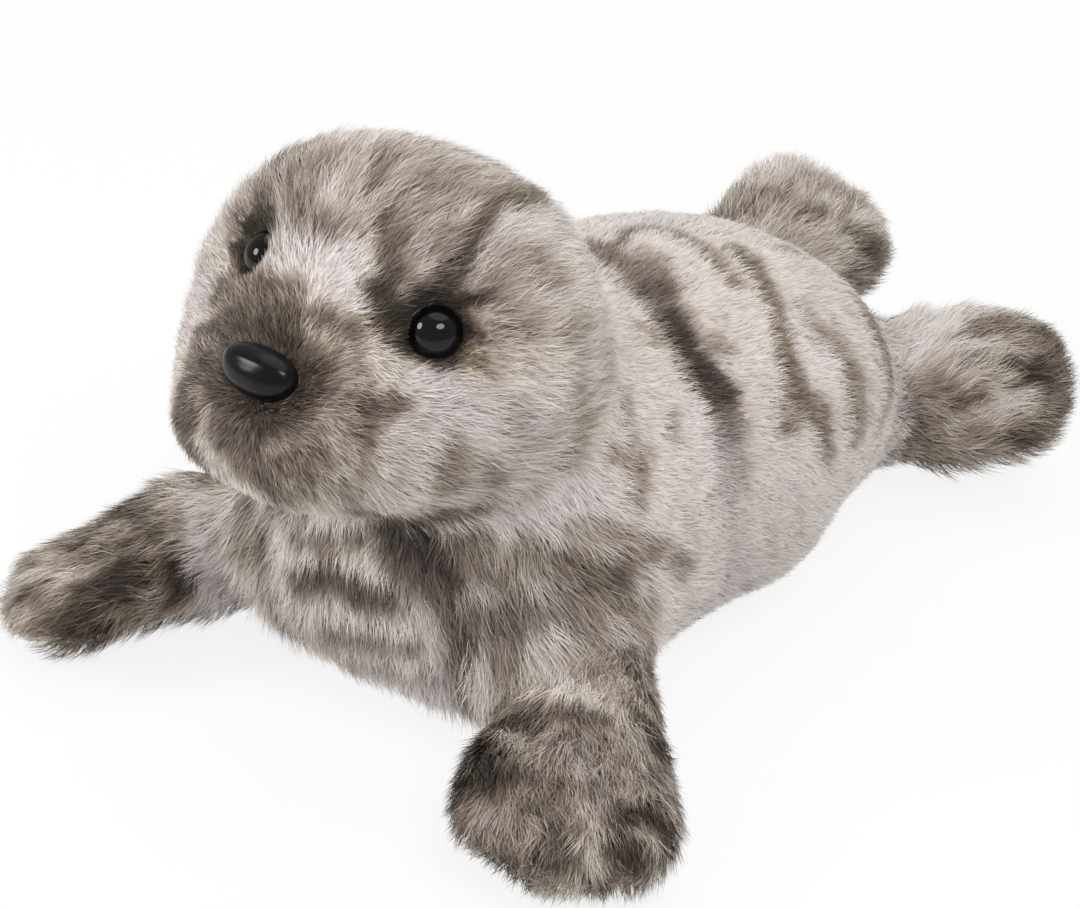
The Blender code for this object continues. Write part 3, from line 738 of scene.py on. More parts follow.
FLIPPER_STROKES = {
    "left_front_flipper": (
        # pale fur down the right edge, partly painted light on the side turned away from the lamps
        (0.72, 0.3, 0.8, ((640, 590, 18), (648, 640, 18), (650, 680, 14))),
        (0.50, 0.5, 0.7, ((584, 600, 6), (588, 640, 6))),
        # pale fur over the top and right edge, partly painted light on the side turned away from
        # the lamps
        (0.74, 0.5, 0.9, ((606, 604, 18), (632, 602, 18), (645, 650, 16), (652, 684, 12))),
        (0.58, 0.6, 0.7, ((600, 640, 8), (604, 680, 8))),
        (0.78, 0.2, 0.9, ((535, 620, 10), (548, 650, 12), (560, 668, 12))),
        (0.70, 0.8, 0.8, ((520, 665, 12), (500, 690, 10))),
        (0.66, 0.6, 0.8, ((600, 660, 14), (625, 660, 14), (630, 690, 12))),
        (0.44, 0.6, 0.8, ((512, 620, 8), (514, 650, 8))),
        (0.34, 0.5, 0.85, ((530, 708, 12), (575, 706, 12), (600, 712, 10))),
        (0.16, 0.6, 1.0, ((480, 742, 14), (492, 768, 17), (468, 786, 14))),
        (0.26, 0.5, 0.9, ((510, 720, 10), (536, 722, 10))),
        (0.34, 0.5, 0.8, ((525, 755, 10), (540, 780, 10), (535, 800, 8))),
        (0.34, 0.5, 0.9, ((636, 712, 10), (650, 738, 11), (660, 750, 10))),
        (0.42, 0.5, 0.75, ((530, 780, 18), (556, 812, 20), (522, 838, 16))),
        (0.24, 0.5, 0.8, ((486, 736, 13), (500, 762, 12))),
        (0.58, 0.3, 0.9, ((575, 745, 12), (590, 770, 14), (592, 800, 12))),
        (0.66, 0.5, 0.9, ((625, 775, 15), (655, 785, 13))),
        (0.20, 0.5, 1.0, ((620, 806, 13), (645, 808, 12))),
        (0.30, 0.5, 0.9, ((655, 820, 10), (662, 840, 9))),
        (0.20, 0.5, 0.95, ((612, 835, 10), (632, 850, 14), (612, 868, 12))),
        (0.28, 0.4, 0.9, ((562, 830, 9), (570, 845, 9))),
        (0.30, 0.5, 0.9, ((505, 850, 7), (535, 848, 9), (560, 852, 8))),
        (0.58, 0.4, 0.8, ((500, 810, 11), (520, 825, 10))),
        (0.66, 0.3, 0.8, ((520, 868, 9), (545, 876, 10), (575, 884, 9))),
        (0.54, 0.6, 0.7, ((466, 820, 9), (482, 838, 9))),
    ),
    "right_front_flipper": (
        (0.82, 0.2, 0.95, ((204, 492, 15), (226, 515, 22), (226, 545, 22))),
        (0.78, 0.2, 0.95, ((212, 565, 24), (232, 592, 22), (262, 608, 18))),
        (0.44, 0.6, 0.8, ((128, 502, 12), (158, 500, 13))),
        (0.12, 0.5, 1.0, ((135, 560, 16), (128, 585, 17), (100, 588, 14))),
        (0.18, 0.5, 0.95, ((100, 600, 16), (78, 625, 15), (110, 625, 10))),
        (0.30, 0.6, 0.9, ((140, 512, 7), (162, 516, 8))),
        (0.30, 0.5, 0.9, ((150, 535, 10), (170, 535, 9))),
        (0.20, 0.5, 0.9, ((152, 576, 11), (142, 590, 10))),
        (0.14, 0.5, 1.0, ((184, 560, 10), (183, 590, 13))),
        (0.54, 0.6, 0.9, ((30, 562, 10), (60, 556, 12), (90, 545, 10))),
        (0.44, 0.6, 0.8, ((30, 590, 12), (55, 592, 12))),
        (0.40, 0.6, 0.8, ((28, 622, 11), (50, 628, 11))),
        (0.56, 0.4, 0.8, ((40, 645, 8), (70, 650, 7))),
        (0.54, 0.5, 0.8, ((168, 592, 6), (165, 604, 6))),
        (0.46, 0.5, 0.7, ((115, 530, 9), (90, 560, 9))),
    ),
    "left_hind_flipper": (
        (0.94, 0.4, 1.0, ((905, 332, 28), (940, 324, 26), (975, 310, 18), (1000, 308, 15))),
        (0.84, 0.2, 0.9, ((905, 355, 20), (935, 355, 18), (970, 352, 14))),
        (0.42, 0.6, 0.9, ((962, 336, 8), (980, 330, 10), (1000, 330, 10))),
        (0.36, 0.7, 0.95, ((1025, 340, 13), (1045, 352, 14), (1052, 375, 14))),
        (0.18, 0.6, 1.0, ((1000, 368, 7), (1016, 374, 12), (1030, 378, 10))),
        (0.34, 0.5, 0.9, ((1035, 392, 12), (1050, 405, 13))),
        (0.38, 0.5, 0.8, ((940, 372, 3), (962, 366, 4), (980, 364, 4))),
        (0.56, 0.5, 0.8, ((930, 395, 8), (955, 392, 8), (975, 385, 7))),
        (0.30, 0.5, 0.9, ((945, 412, 5), (960, 406, 6), (975, 400, 5))),
        (0.74, 0.3, 0.9, ((985, 415, 8), (1005, 405, 9), (1015, 398, 7))),
        (0.22, 0.5, 0.9, ((1000, 438, 6), (1014, 440, 7), (1022, 434, 6))),
        (0.36, 0.5, 0.85, ((1035, 425, 10), (1050, 415, 9))),
        (0.86, 0.3, 0.9, ((893, 345, 16), (900, 368, 14))),
        (0.46, 0.6, 0.8, ((902, 388, 5), (904, 410, 6), (905, 430, 6))),
        (0.74, 0.4, 0.8, ((948, 422, 10), (985, 424, 9))),
        (0.56, 0.6, 0.85, ((905, 445, 8), (940, 440, 9), (975, 436, 8))),
        (0.42, 0.7, 0.9, ((890, 458, 9), (930, 460, 10), (968, 456, 8))),
    ),
    "right_hind_flipper": (
        (0.84, 0.3, 0.9, ((768, 178, 17), (800, 170, 20), (835, 188, 17))),
        (0.32, 0.5, 0.95, ((740, 204, 8), (752, 202, 8), (765, 206, 7))),
        (0.44, 0.5, 0.9, ((780, 214, 8), (800, 222, 10), (822, 224, 8))),
        (0.38, 0.8, 0.95, ((838, 236, 9), (856, 246, 13), (870, 262, 12))),
        (0.36, 0.8, 0.95, ((858, 262, 10), (862, 282, 10), (866, 298, 8))),
        (0.60, 0.4, 0.7, ((882, 240, 9), (886, 265, 8), (880, 288, 7))),
        (0.66, 0.4, 0.7, ((840, 210, 12), (858, 215, 10))),
    ),
}

# Tone and tint of the bare fur, how much wider the strokes lie, how much darker the dark
# ones are, and how much cloudiness changes the tone
BASE_TONE = {"body": 0.89, "head": 0.76, "flipper": 0.62}
BASE_TINT = {"body": 0.36, "head": 0.52, "flipper": 0.66}
WIDEN = {"body": 1.35, "head": 1.12, "flipper": 1.15}
DARKEN = {"body": 0.09, "head": 0.11, "flipper": 0.08}
SWING = {"body": 0.05, "head": 0.07, "flipper": 0.15}

# Places tried along a line of sight that misses its section
LANDING_STEPS = 60


class Strokes:
    """Markings laid on one section's skin."""

    def __init__(self, skin, kind, rows, mirrored):
        self.rows = []
        self.tree = tree_of(skin)
        for tone, tint, strength, line in rows:
            points = [self.land(across, down) for across, down, _ in line]
            sizes = [half * WIDEN[kind] / UNITS_PER_METRE for _, _, half in line]
            tone -= DARKEN[kind] * (tone < 0.7)
            self.rows.append((tone, tint, strength, np.array(points), np.array(sizes)))
            if mirrored and min(abs(point[0] - MIDDLE) for point in points) > 0.014:
                other = np.array(points) * np.array([-1.0, 1.0, 1.0])
                other += np.array([2 * MIDDLE, 0.004, 0])
                self.rows.append((tone, tint, strength * 0.9, other, np.array(sizes) * 1.05))

    def land(self, across, down):
        """Point of the skin under a point of the picture, or the nearest one to it."""
        start, direction = picture_ray(across, down)
        place = self.tree.ray_cast(start, direction)[0]
        if place is not None:
            return list(place)
        best = None
        for step in range(LANDING_STEPS):
            depth = VIEW_DISTANCE - 0.25 + 0.5 * step / (LANDING_STEPS - 1)
            probe = start + direction * depth
            found, _, _, distance = self.tree.find_nearest(probe)
            if best is None or distance < best[0]:
                best = (distance, found)
        return list(best[1])

    def paint(self, points, tone, tint):
        """Tone and tint at some points after every stroke is laid over them."""
        ragged = cloudy(points, 0.0075, 5) * 0.30 + cloudy(points, 0.003, 6) * 0.14
        for target, hue, strength, line, sizes in self.rows:
            reach = sizes.max() * 1.7
            low = line.min(axis=0) - reach
            high = line.max(axis=0) + reach
            near = np.nonzero(((points > low) & (points < high)).all(axis=1))[0]
            if not len(near):
                continue
            spot = points[near]
            ratio = np.full(len(near), 1e9)
            for k in range(len(line) - 1):
                run = line[k + 1] - line[k]
                share = np.clip((spot - line[k]) @ run / max(run @ run, 1e-12), 0, 1)
                gap = np.linalg.norm(spot - line[k] - share[:, None] * run, axis=1)
                ratio = np.minimum(ratio, gap / (sizes[k] + (sizes[k + 1] - sizes[k]) * share))
            cover = smooth((1.56 - ratio + ragged[near]) / 1.15) * strength
            tone[near] += (target - tone[near]) * cover
            tint[near] += (hue - tint[near]) * cover
        return tone, tint


def coat(kind, strokes, points):
    """Tone and tint of the fur at some points of a section."""
    tone = np.full(len(points), BASE_TONE[kind])
    tone += cloudy(points, 0.022, 1) * SWING[kind] + cloudy(points, 0.009, 2) * SWING[kind] * 0.7
    tint = np.full(len(points), BASE_TINT[kind]) + cloudy(points, 0.026, 3) * 0.22
    if kind == "flipper":
        blot = smooth((cloudy(points, 0.016, 9) - 0.05) / 0.4)
        tone += (0.34 - tone) * blot * 0.55
    tone, tint = strokes.paint(points, tone, tint)
    if kind == "head":
        ragged = cloudy(points, 0.004, 8) * 0.0016
        gap = np.linalg.norm((points - NOSE_PLACE[None, :]) / NOSE_FORM[None, :], axis=1) - 1.0
        ring = smooth(1.0 - (gap * NOSE_HALF_HEIGHT - 0.0012 + ragged) / 0.0085)
        tone += (0.12 - tone) * ring * 0.92
        tint += (0.52 - tint) * ring
        for centre in EYE_PLACES:
            gap = np.linalg.norm(points - centre[None, :], axis=1) - EYE_RADIUS
            ring = smooth(1.0 - (gap - 0.0002 + ragged) / 0.0042)
            tone += (0.06 - tone) * ring * 0.9
    return np.clip(tone, 0.02, 0.98), np.clip(tint, 0.0, 1.0)


# Fur and skin materials

DARK_TO_PALE = (0.0, 0.2, 0.4, 0.6, 0.8, 1.0)
LILAC_FUR = (
    (0.030, 0.025, 0.026), (0.112, 0.088, 0.085), (0.286, 0.236, 0.228),
    (0.549, 0.480, 0.476), (0.810, 0.746, 0.744), (0.935, 0.885, 0.876),
)
PLAIN_FUR = (
    (0.030, 0.024, 0.019), (0.116, 0.085, 0.066), (0.297, 0.232, 0.188),
    (0.564, 0.480, 0.419), (0.820, 0.742, 0.683), (0.940, 0.888, 0.842),
)
OLIVE_FUR = (
    (0.030, 0.024, 0.016), (0.120, 0.090, 0.058), (0.301, 0.242, 0.171),
    (0.564, 0.488, 0.384), (0.820, 0.756, 0.643), (0.940, 0.895, 0.807),
)


def ramp(tree, tone, colours):
    node = add_node(tree, "ValToRGB", {"Fac": tone})
    stops = node.color_ramp.elements
    stops[0].position = DARK_TO_PALE[0]
    stops[0].color = (*colours[0], 1)
    stops[1].position = DARK_TO_PALE[-1]
    stops[1].color = (*colours[-1], 1)
    for place, colour in zip(DARK_TO_PALE[1:-1], colours[1:-1]):
        stop = stops.new(place)
        stop.color = (*colour, 1)
    return node.outputs["Color"]


def blend_colours(tree, share, low, high, first, second):
    """First colour below one share, second above another."""
    span = add_node(tree, "MapRange", {"Value": share, "From Min": low, "From Max": high})
    mix = add_node(tree, "Mix", {})
    mix.data_type = "RGBA"
    fill_inputs(tree, mix, {"Factor": span.outputs["Result"], 6: first, 7: second})
    return mix.outputs[2]


def fur_colour(tree, tone, tint):
    lilac, plain, olive = (ramp(tree, tone, fur) for fur in (LILAC_FUR, PLAIN_FUR, OLIVE_FUR))
    cool = blend_colours(tree, tint, 0.0, 0.5, lilac, plain)
    return blend_colours(tree, tint, 0.5, 1.0, cool, olive)


def new_material(name):
    """Material with its node tree and its shader."""
    material = bpy.data.materials.new(name)
    material.use_nodes = True
    return material, material.node_tree, material.node_tree.nodes["Principled BSDF"]


def noise(tree, scale, detail):
    """Fine noise over an object's own space."""
    place = add_node(tree, "TexCoord", {}).outputs["Object"]
    inputs = {"Vector": place, "Scale": scale, "Detail": detail}
    return add_node(tree, "TexNoise", inputs).outputs["Fac"]


def grained(tree, grain, dark, pale):
    """Colour that a grain moves from a dark to a pale one."""
    tone = add_node(tree, "ValToRGB", {"Fac": grain})
    tone.color_ramp.elements[0].color = (*dark, 1)
    tone.color_ramp.elements[1].color = (*pale, 1)
    return tone.outputs["Color"]


def bumped(tree, height, strength, distance):
    inputs = {"Height": height, "Strength": strength, "Distance": distance}
    return add_node(tree, "Bump", inputs).outputs["Normal"]


def pile_material():
    """Colour of each hair from its own place on the tone and tint chart."""
    material, tree, shader = new_material("plush pile")
    chart = add_node(tree, "UVMap", {})
    chart.uv_map = "OFBake"
    split = add_node(tree, "SeparateXYZ", {0: chart.outputs["UV"]})
    fill_inputs(tree, shader, {
        "Base Color": fur_colour(tree, split.outputs[0], split.outputs[1]),
        "Roughness": 0.72,
        "Specular IOR Level": 0.25,
        "Sheen Weight": 0.12,
        "Sheen Roughness": 0.5,
    })
    return material


def skin_material():
    """Knitted backing under the pile, in the colour of the fur's roots."""
    material, tree, shader = new_material("plush backing")
    tone = add_node(tree, "Attribute", {})
    tone.attribute_name = "tone"
    tint = add_node(tree, "Attribute", {})
    tint.attribute_name = "tint"
    tufts = noise(tree, 700.0, 3.0)
    inputs = {"Value": tufts, "From Min": 0.3, "From Max": 0.7, "To Min": -0.16, "To Max": 0.03}
    spread = add_node(tree, "MapRange", inputs)
    total = add_node(tree, "Math", {0: tone.outputs["Fac"], 1: spread.outputs["Result"]})
    total.operation = "ADD"
    fill_inputs(tree, shader, {
        "Base Color": fur_colour(tree, total.outputs[0], tint.outputs["Fac"]),
        "Roughness": 0.9,
        "Specular IOR Level": 0.15,
        "Normal": bumped(tree, tufts, 0.4, 0.0006),
    })
    return material


def colour_skin(skin, kind, strokes, material):
    points = points_of(skin.data)
    tone, tint = coat(kind, strokes, points)
    for name, values in (("tone", tone), ("tint", tint)):
        layer = skin.data.attributes.new(name, "FLOAT", "POINT")
        layer.data.foreach_set("value", values.astype(np.float32))
    skin.data.materials.append(material)


# Pile

def turned(rows, axes, angles):
    """Rows turned about unit axes that are square to them."""
    return rows * np.cos(angles)[:, None] + np.cross(axes, rows) * np.sin(angles)[:, None]


def level(rows, normals):
    """Directions pressed flat onto the skin."""
    return unit(rows - normals * along_rows(rows, normals)[:, None])


def head_lie(points, normals):
    away = unit(points - NOSE_PLACE[None, :])
    rows = away + np.array([0.0, 0.35, -0.05])
    for centre in EYE_PLACES:
        gap = points - centre[None, :]
        reach = np.linalg.norm(gap, axis=1)
        push = smooth(1.0 - (reach - EYE_RADIUS) / 0.006)
        rows = rows + unit(gap) * (push * 0.75)[:, None]
    return level(rows, normals)


def head_length(points):
    nose = np.linalg.norm(points - NOSE_PLACE[None, :], axis=1)
    size = FACE_HAIR + CROWN_GAIN * smooth((nose - 0.016) / 0.045)
    for centre in EYE_PLACES:
        reach = np.linalg.norm(points - centre[None, :], axis=1)
        size *= 0.50 + 0.50 * smooth((reach - EYE_RADIUS) / 0.009)
    return size


def body_lie(points, normals):
    side = np.sign(points[:, 0] - MIDDLE)
    rows = np.zeros((len(points), 3))
    rows[:, 0] = side * 0.15
    rows[:, 1] = 0.85
    rows[:, 2] = -0.42
    front = smooth((-0.045 - points[:, 1]) / 0.05)
    away = unit(points - NOSE_PLACE[None, :]) + np.array([0.0, 0.0, -0.9])
    rows = rows * (1 - front)[:, None] + away * front[:, None]
    return level(rows, normals)


def body_length(points):
    front = smooth((-0.050 - points[:, 1]) / 0.05) * smooth((0.115 - points[:, 2]) / 0.04)
    under = smooth((0.016 - points[:, 2]) / 0.012)
    return (BODY_HAIR + CHEST_GAIN * front) * (1 - 0.30 * under)


def hair_mesh(name, rows, shade, tint, soft):
    """Mesh of hairs of five points, a quad and a triangle each, charted by tone and tint."""
    count = len(rows)
    made = bpy.data.meshes.new(name)
    base = np.arange(count, dtype=np.int32)[:, None] * 5
    quad = base + np.array([[0, 1, 2, 3]], dtype=np.int32)
    end = base + np.array([[3, 2, 4]], dtype=np.int32)
    order = np.concatenate([quad, end], axis=1).ravel()
    starts = np.empty((count, 2), dtype=np.int32)
    starts[:, 0] = np.arange(count) * 7
    starts[:, 1] = starts[:, 0] + 4
    totals = np.tile(np.array([4, 3], dtype=np.int32), count)
    made.vertices.add(count * 5)
    made.vertices.foreach_set("co", rows.astype(np.float32).ravel())
    made.loops.add(count * 7)
    made.loops.foreach_set("vertex_index", order)
    made.polygons.add(count * 2)
    made.polygons.foreach_set("loop_start", starts.ravel())
    made.polygons.foreach_set("loop_total", totals)
    made.update(calc_edges=True)
    layer = made.uv_layers.new(name="OFBake")
    chart = np.empty((count, 5, 2))
    chart[:, :, 0] = shade
    chart[:, :, 1] = tint[:, None] + np.array([[-0.004, 0.004, 0.004, -0.004, 0.0]])
    layer.data.foreach_set("uv", chart.reshape(-1, 2)[order].astype(np.float32).ravel())
    made.polygons.foreach_set("use_smooth", np.ones(count * 2, bool))
    spread_out = np.repeat(soft[:, None, :], 5, axis=1).reshape(-1, 3)
    made.normals_split_custom_set_from_vertices(spread_out.tolist())
    return made


def scatter(mesh, picked, count, rng):
    """Random places on a skin with its normals there, fewer of them under the belly."""
    co, corners, area, face_normal = triangles_with_normals(mesh)
    facing = normals_of(mesh)
    middle = co[corners].mean(axis=1)
    weight = area * picked(middle)
    weight *= 1 - 0.65 * smooth((-face_normal[:, 2] - 0.25) / 0.3) * (middle[:, 2] < 0.02)
    chosen = rng.choice(len(area), size=count, p=weight / weight.sum())
    u = rng.random(count)
    v = rng.random(count)
    flip = u + v > 1
    u[flip] = 1 - u[flip]
    v[flip] = 1 - v[flip]
    share = np.stack([1 - u - v, u, v], axis=1)
    root = (co[corners[chosen]] * share[:, :, None]).sum(axis=1)
    return root, unit((facing[corners[chosen]] * share[:, :, None]).sum(axis=1))


def room_to_grow(root, normal, seam, kind, covers):
    """Hairs that nothing hides, and normals turned to the softened form's near a seam."""
    joined = np.maximum(near_neck(root, NECK_SPAN), seam)
    free = np.ones(len(root), bool)
    open_air = np.zeros(len(root), bool)
    for index in np.nonzero(joined > 0.1)[0]:
        _, outward, _, depth = SOFT_FORM.find_nearest(Vector(root[index]))
        normal[index] = np.array(outward)
        open_air[index] = joined[index] > 0.5 and depth < OPEN_DEPTH
        free[index] = joined[index] <= 0.5 or depth < LOST_DEPTH
    for centre, radius in FACE_HOLES[kind]:
        free &= np.linalg.norm(root - centre[None, :], axis=1) > radius
    for index in np.nonzero(free & ~open_air)[0]:
        start = Vector(root[index])
        away = Vector(normal[index])
        for tree, reach in covers:
            if tree.ray_cast(start, away, reach)[0] is not None:
                free[index] = False
                break
    return free


def grow_pile(name, skin, kind, strokes, picked, count, lie, length, style, seed, covers):
    """Hairs rooted on a skin, gathered into tufts."""
    width, pull, tuft, spread, upright, stir, mixed = style
    rng = np.random.default_rng(seed)
    root, normal = scatter(skin.data, picked, count, rng)
    seam = near_roots(root, ROOT_SPAN)
    free = room_to_grow(root, normal, seam, kind, covers)
    root = root[free]
    normal = normal[free]
    seam = seam[free]
    count = len(root)

    comb = lie(root, normal)
    wander = (cloudy(root, 0.020, 21) * 0.30 + cloudy(root, 0.006, 22) * 0.42) * stir
    wander += rng.normal(0, spread, count)
    comb = turned(comb, normal, wander)
    size = length(root) * (0.80 + 0.40 * rng.random(count))
    if kind == "body":
        size *= 1 + 0.6 * seam
    lean = upright + cloudy(root, 0.006, 23) * 0.18 * stir + rng.normal(0, 0.10, count)
    early = comb * np.sin(lean)[:, None] + normal * np.cos(lean)[:, None]
    late_lean = np.minimum(lean + 0.36, 1.48)
    late = comb * np.sin(late_lean)[:, None] + normal * np.cos(late_lean)[:, None]
    late = unit(late + np.array([0.0, 0.0, -0.06]))
    knee = root + early * (size * 0.45)[:, None]
    tip = knee + late * (size * 0.55)[:, None]

    tufts = max(count // tuft, 1)
    tree = KDTree(tufts)
    for index in range(tufts):
        tree.insert(root[index], index)
    tree.balance()
    nearest = np.array([tree.find(point)[1] for point in root])
    gather = tip[nearest] - tip
    stretch = np.linalg.norm(gather, axis=1)
    gather *= np.minimum(1.0, TUFT_REACH / np.maximum(stretch, 1e-9))[:, None]
    share = pull * (0.6 + 0.6 * rng.random(count))
    tip = tip + gather * share[:, None]
    knee = knee + gather * (share * 0.40)[:, None]

    run = unit(tip - root)
    side = unit(np.cross(run, normal))
    side = turned(side, run, rng.normal(0, 0.6, count))
    half = side * (width * (0.75 + 0.5 * rng.random(count)) / 2)[:, None]
    sunk = root - normal * ROOT_SUNK
    rows = np.empty((count, 5, 3))
    rows[:, 0] = sunk - half
    rows[:, 1] = sunk + half
    rows[:, 2] = knee + half * 0.82
    rows[:, 3] = knee - half * 0.82
    rows[:, 4] = tip
    rows[:, :, 2] = np.maximum(rows[:, :, 2], GROUND)

    tone, tint = coat(kind, strokes, root)
    tuft_tone = rng.normal(0, mixed * 0.7, tufts)[nearest]
    tuft_tint = rng.normal(0, 0.12, tufts)[nearest]
    tone = tone + tuft_tone + rng.normal(0, mixed, count)
    dark = rng.random(count) < 0.15
    tone -= dark * 0.20 * smooth((0.86 - tone) / 0.35)
    tint = np.clip(tint + tuft_tint, 0.03, 0.97)
    # Each hair is darker at its root, painted shade deep in the pile, and a little paler at its
    # tip
    shade = np.stack([tone - 0.12, tone - 0.12, tone, tone, tone + 0.05], axis=1)
    shade = np.clip(shade, 0.01, 0.99)

    soft = unit(normal + run * 0.25 + rng.normal(0, 0.16, (count, 3)))
    made = hair_mesh(name, rows, shade, tint, soft)
    made.materials.append(PILE)
    piece = bpy.data.objects.new(name, made)
    bpy.context.scene.collection.objects.link(piece)
    return piece


# Face parts

def button_frame(node):
    """Rim centre, outward axis and upright direction of a moulded face part."""
    dome = points_of(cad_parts[node].data)
    lock = points_of(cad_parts[node + "_washer"].data)
    span = dome.max(axis=0) * 0.5 + dome.min(axis=0) * 0.5
    centre = lock.min(axis=0) * 0.5 + lock.max(axis=0) * 0.5
    axis = unit((span - centre)[None, :])[0]
    for _ in range(3):
        height = (dome - centre) @ axis
        front = dome[height > height.max() - 0.0085]
        spread = front - centre
        across = spread - np.outer(spread @ axis, axis)
        axis = unit((axis + across.mean(axis=0) / max(height.max(), 1e-6))[None, :])[0]
    height = (dome - centre) @ axis
    return centre, axis, height.max()


def gloss_material(name, colour, roughness, gloss):
    """Moulded black plastic with a faint flow grain."""
    material, tree, shader = new_material(name)
    grain = noise(tree, 900.0, 2.0)
    dark = [part * 0.8 for part in colour]
    pale = [part * 1.25 for part in colour]
    fill_inputs(tree, shader, {
        "Base Color": grained(tree, grain, dark, pale),
        "Roughness": roughness,
        "IOR": 1.46,
        "Specular IOR Level": gloss,
        "Normal": bumped(tree, grain, 0.02, 0.0002),
    })
    return material


def round_form(name, segments, rings, radius):
    bpy.ops.object.select_all(action="DESELECT")
    bpy.ops.mesh.primitive_uv_sphere_add(
        segments=segments, ring_count=rings, radius=radius, location=(0, 0, 0)
    )
    piece = bpy.context.active_object
    piece.name = name
    return piece, points_of(piece.data)


def set_on(piece, co, node, centre, axis, material):
    """Stands a face part that is drawn round +Z on its axis and settles its place."""
    put_points(piece.data, co)
    select_only(piece)
    bpy.ops.object.shade_smooth()
    piece.matrix_world = aim(Vector(centre), -Vector(axis))
    bpy.ops.object.transform_apply(location=True, rotation=True, scale=True)
    piece.data.materials.append(material)
    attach(piece, "root")
    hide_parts(node)


def make_eye(node, material):
    """Glossy domed eye with a fine groove inside its rim."""
    centre, axis, crown = button_frame(node)
    eye, co = round_form(node + "_dome", 64, 48, EYE_RADIUS)
    radius = np.linalg.norm(co[:, :2], axis=1)
    front = co[:, 2] > 0
    co[front, 2] *= EYE_RISE / EYE_RADIUS
    rim = np.exp(-(((radius - EYE_RADIUS * 0.91) / 0.00030) ** 2)) * front
    co[:, 2] -= rim * 0.00012
    co[:, 2] = np.maximum(co[:, 2], -EYE_BACK)
    set_on(eye, co, node, centre + axis * (crown - EYE_RISE - EYE_SUNK[node]), axis, material)


def make_nose(node, material):
    """Wide glossy nose with a rounded ridge along its top."""
    centre, axis, crown = button_frame(node)
    nose, co = round_form(node + "_button", 72, 56, 1.0)
    co[:, 2] = np.sign(co[:, 2]) * np.abs(co[:, 2]) ** 0.86
    round_out = np.linalg.norm(co[:, :2], axis=1)
    corner = (np.abs(co[:, :2]) ** 2.5).sum(axis=1) ** (1 / 2.5)
    co[:, :2] *= (round_out / np.maximum(corner, 1e-6))[:, None]
    front = co[:, 2] > 0.1
    ridge = np.exp(-(((co[:, 1] - 0.62) / 0.16) ** 2)) * front
    dip = np.exp(-(((co[:, 1] - 0.30) / 0.16) ** 2)) * front * np.exp(-((co[:, 0] / 0.7) ** 2))
    co[:, 2] += ridge * 0.03 - dip * 0.01
    lower = np.clip(-co[:, 1], 0, 1)
    co[:, 0] *= 1 - 0.16 * lower
    co[:, 0] *= NOSE_HALF_WIDTH
    co[:, 1] *= NOSE_HALF_HEIGHT
    co[:, 2] *= NOSE_RISE
    co[:, 2] = np.maximum(co[:, 2], -NOSE_BACK)
    place = centre + axis * (crown - NOSE_RISE - NOSE_SUNK) - np.array([0, 0, NOSE_DROP])
    set_on(nose, co, node, place, axis, material)


def dress_washers():
    """Plain moulded finish on the locking washers inside the head."""
    material, tree, shader = new_material("washer plastic")
    colour = grained(tree, noise(tree, 600.0, 2.0), (0.60, 0.60, 0.58), (0.74, 0.74, 0.72))
    fill_inputs(tree, shader, {"Base Color": colour, "Roughness": 0.45})
    for name in ("left_eye_washer", "right_eye_washer", "nose_washer"):
        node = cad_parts[name]
        node.data.materials.clear()
        node.data.materials.append(material)

bpy.context.scene.view_settings.view_transform = "Standard"
camera = add_camera()
add_lamps()
set_world()
add_floor()

NECK_CENTRE, NECK_AXIS = flat_end("body")
solids = {name: tree_of(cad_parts[name]) for name in ("body", "head") + FLIPPERS}
SOFT_FORM = soft_form()

eye_frames = [button_frame("left_eye"), button_frame("right_eye")]
EYE_PLACES = [centre + axis * (crown - EYE_RISE) for centre, axis, crown in eye_frames]
nose_frame = button_frame("nose")
NOSE_PLACE = nose_frame[0] + nose_frame[1] * (nose_frame[2] - NOSE_RISE)
NOSE_PLACE[2] -= NOSE_DROP
NOSE_FORM = np.array([NOSE_HALF_WIDTH, NOSE_HALF_HEIGHT, NOSE_HALF_HEIGHT])
FACE_HOLES = {
    "head": [(place, EYE_RADIUS) for place in EYE_PLACES]
    + [
        (NOSE_PLACE + np.array([offset, 0.0, 0.0]), NOSE_HALF_HEIGHT * 0.98)
        for offset in (-0.0038, 0.0, 0.0038)
    ],
    "body": [],
    "flipper": [],
}

body_skin = make_section_skin("body", BODY_VOXEL, BODY_INSET)
head_skin = make_section_skin("head", HEAD_VOXEL, HEAD_INSET)
flipper_skins = {name: make_flipper_skin(name) for name in FLIPPERS}

body_strokes = Strokes(body_skin, "body", BODY_STROKES, True)
head_strokes = Strokes(head_skin, "head", HEAD_STROKES, True)
flipper_strokes = {
    name: Strokes(flipper_skins[name], "flipper", FLIPPER_STROKES[name], False)
    for name in FLIPPERS
}

PILE = pile_material()
BACKING = skin_material()
colour_skin(body_skin, "body", body_strokes, BACKING)
colour_skin(head_skin, "head", head_strokes, BACKING)
for name in FLIPPERS:
    colour_skin(flipper_skins[name], "flipper", flipper_strokes[name], BACKING)

for piece, node, slot, fill in (
    (body_skin, "body", "body_plush", 0.8),
    (head_skin, "head", "head_plush", 0.9),
    *((flipper_skins[name], name, "flipper_plush", 0.7) for name in FLIPPERS),
):
    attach(piece, "root")
    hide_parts(node)

# Pile styles: hair width, pull into tufts, hairs a tuft, spread of the combing, lean from
# the normal, stir of the combing and mixture of tones
WIDER = 1.0
SHORT = (0.00023 * WIDER, 0.14, 10, 0.32, 1.02, 0.6, 0.045)
CHEST = (0.00023 * WIDER, 0.22, 14, 0.30, 1.02, 1.1, 0.070)
LONG = (0.00021 * WIDER, 0.24, 14, 0.32, 1.02, 1.0, 0.085)
SHAGGY = (0.00022 * WIDER, 0.34, 22, 0.36, 0.95, 1.5, 0.095)
SHARE = 1.0


def band(low, high):
    """Picks the part of a section between two places along the body."""
    def picked(points):
        return (points[:, 1] >= low) & (points[:, 1] < high)

    return picked


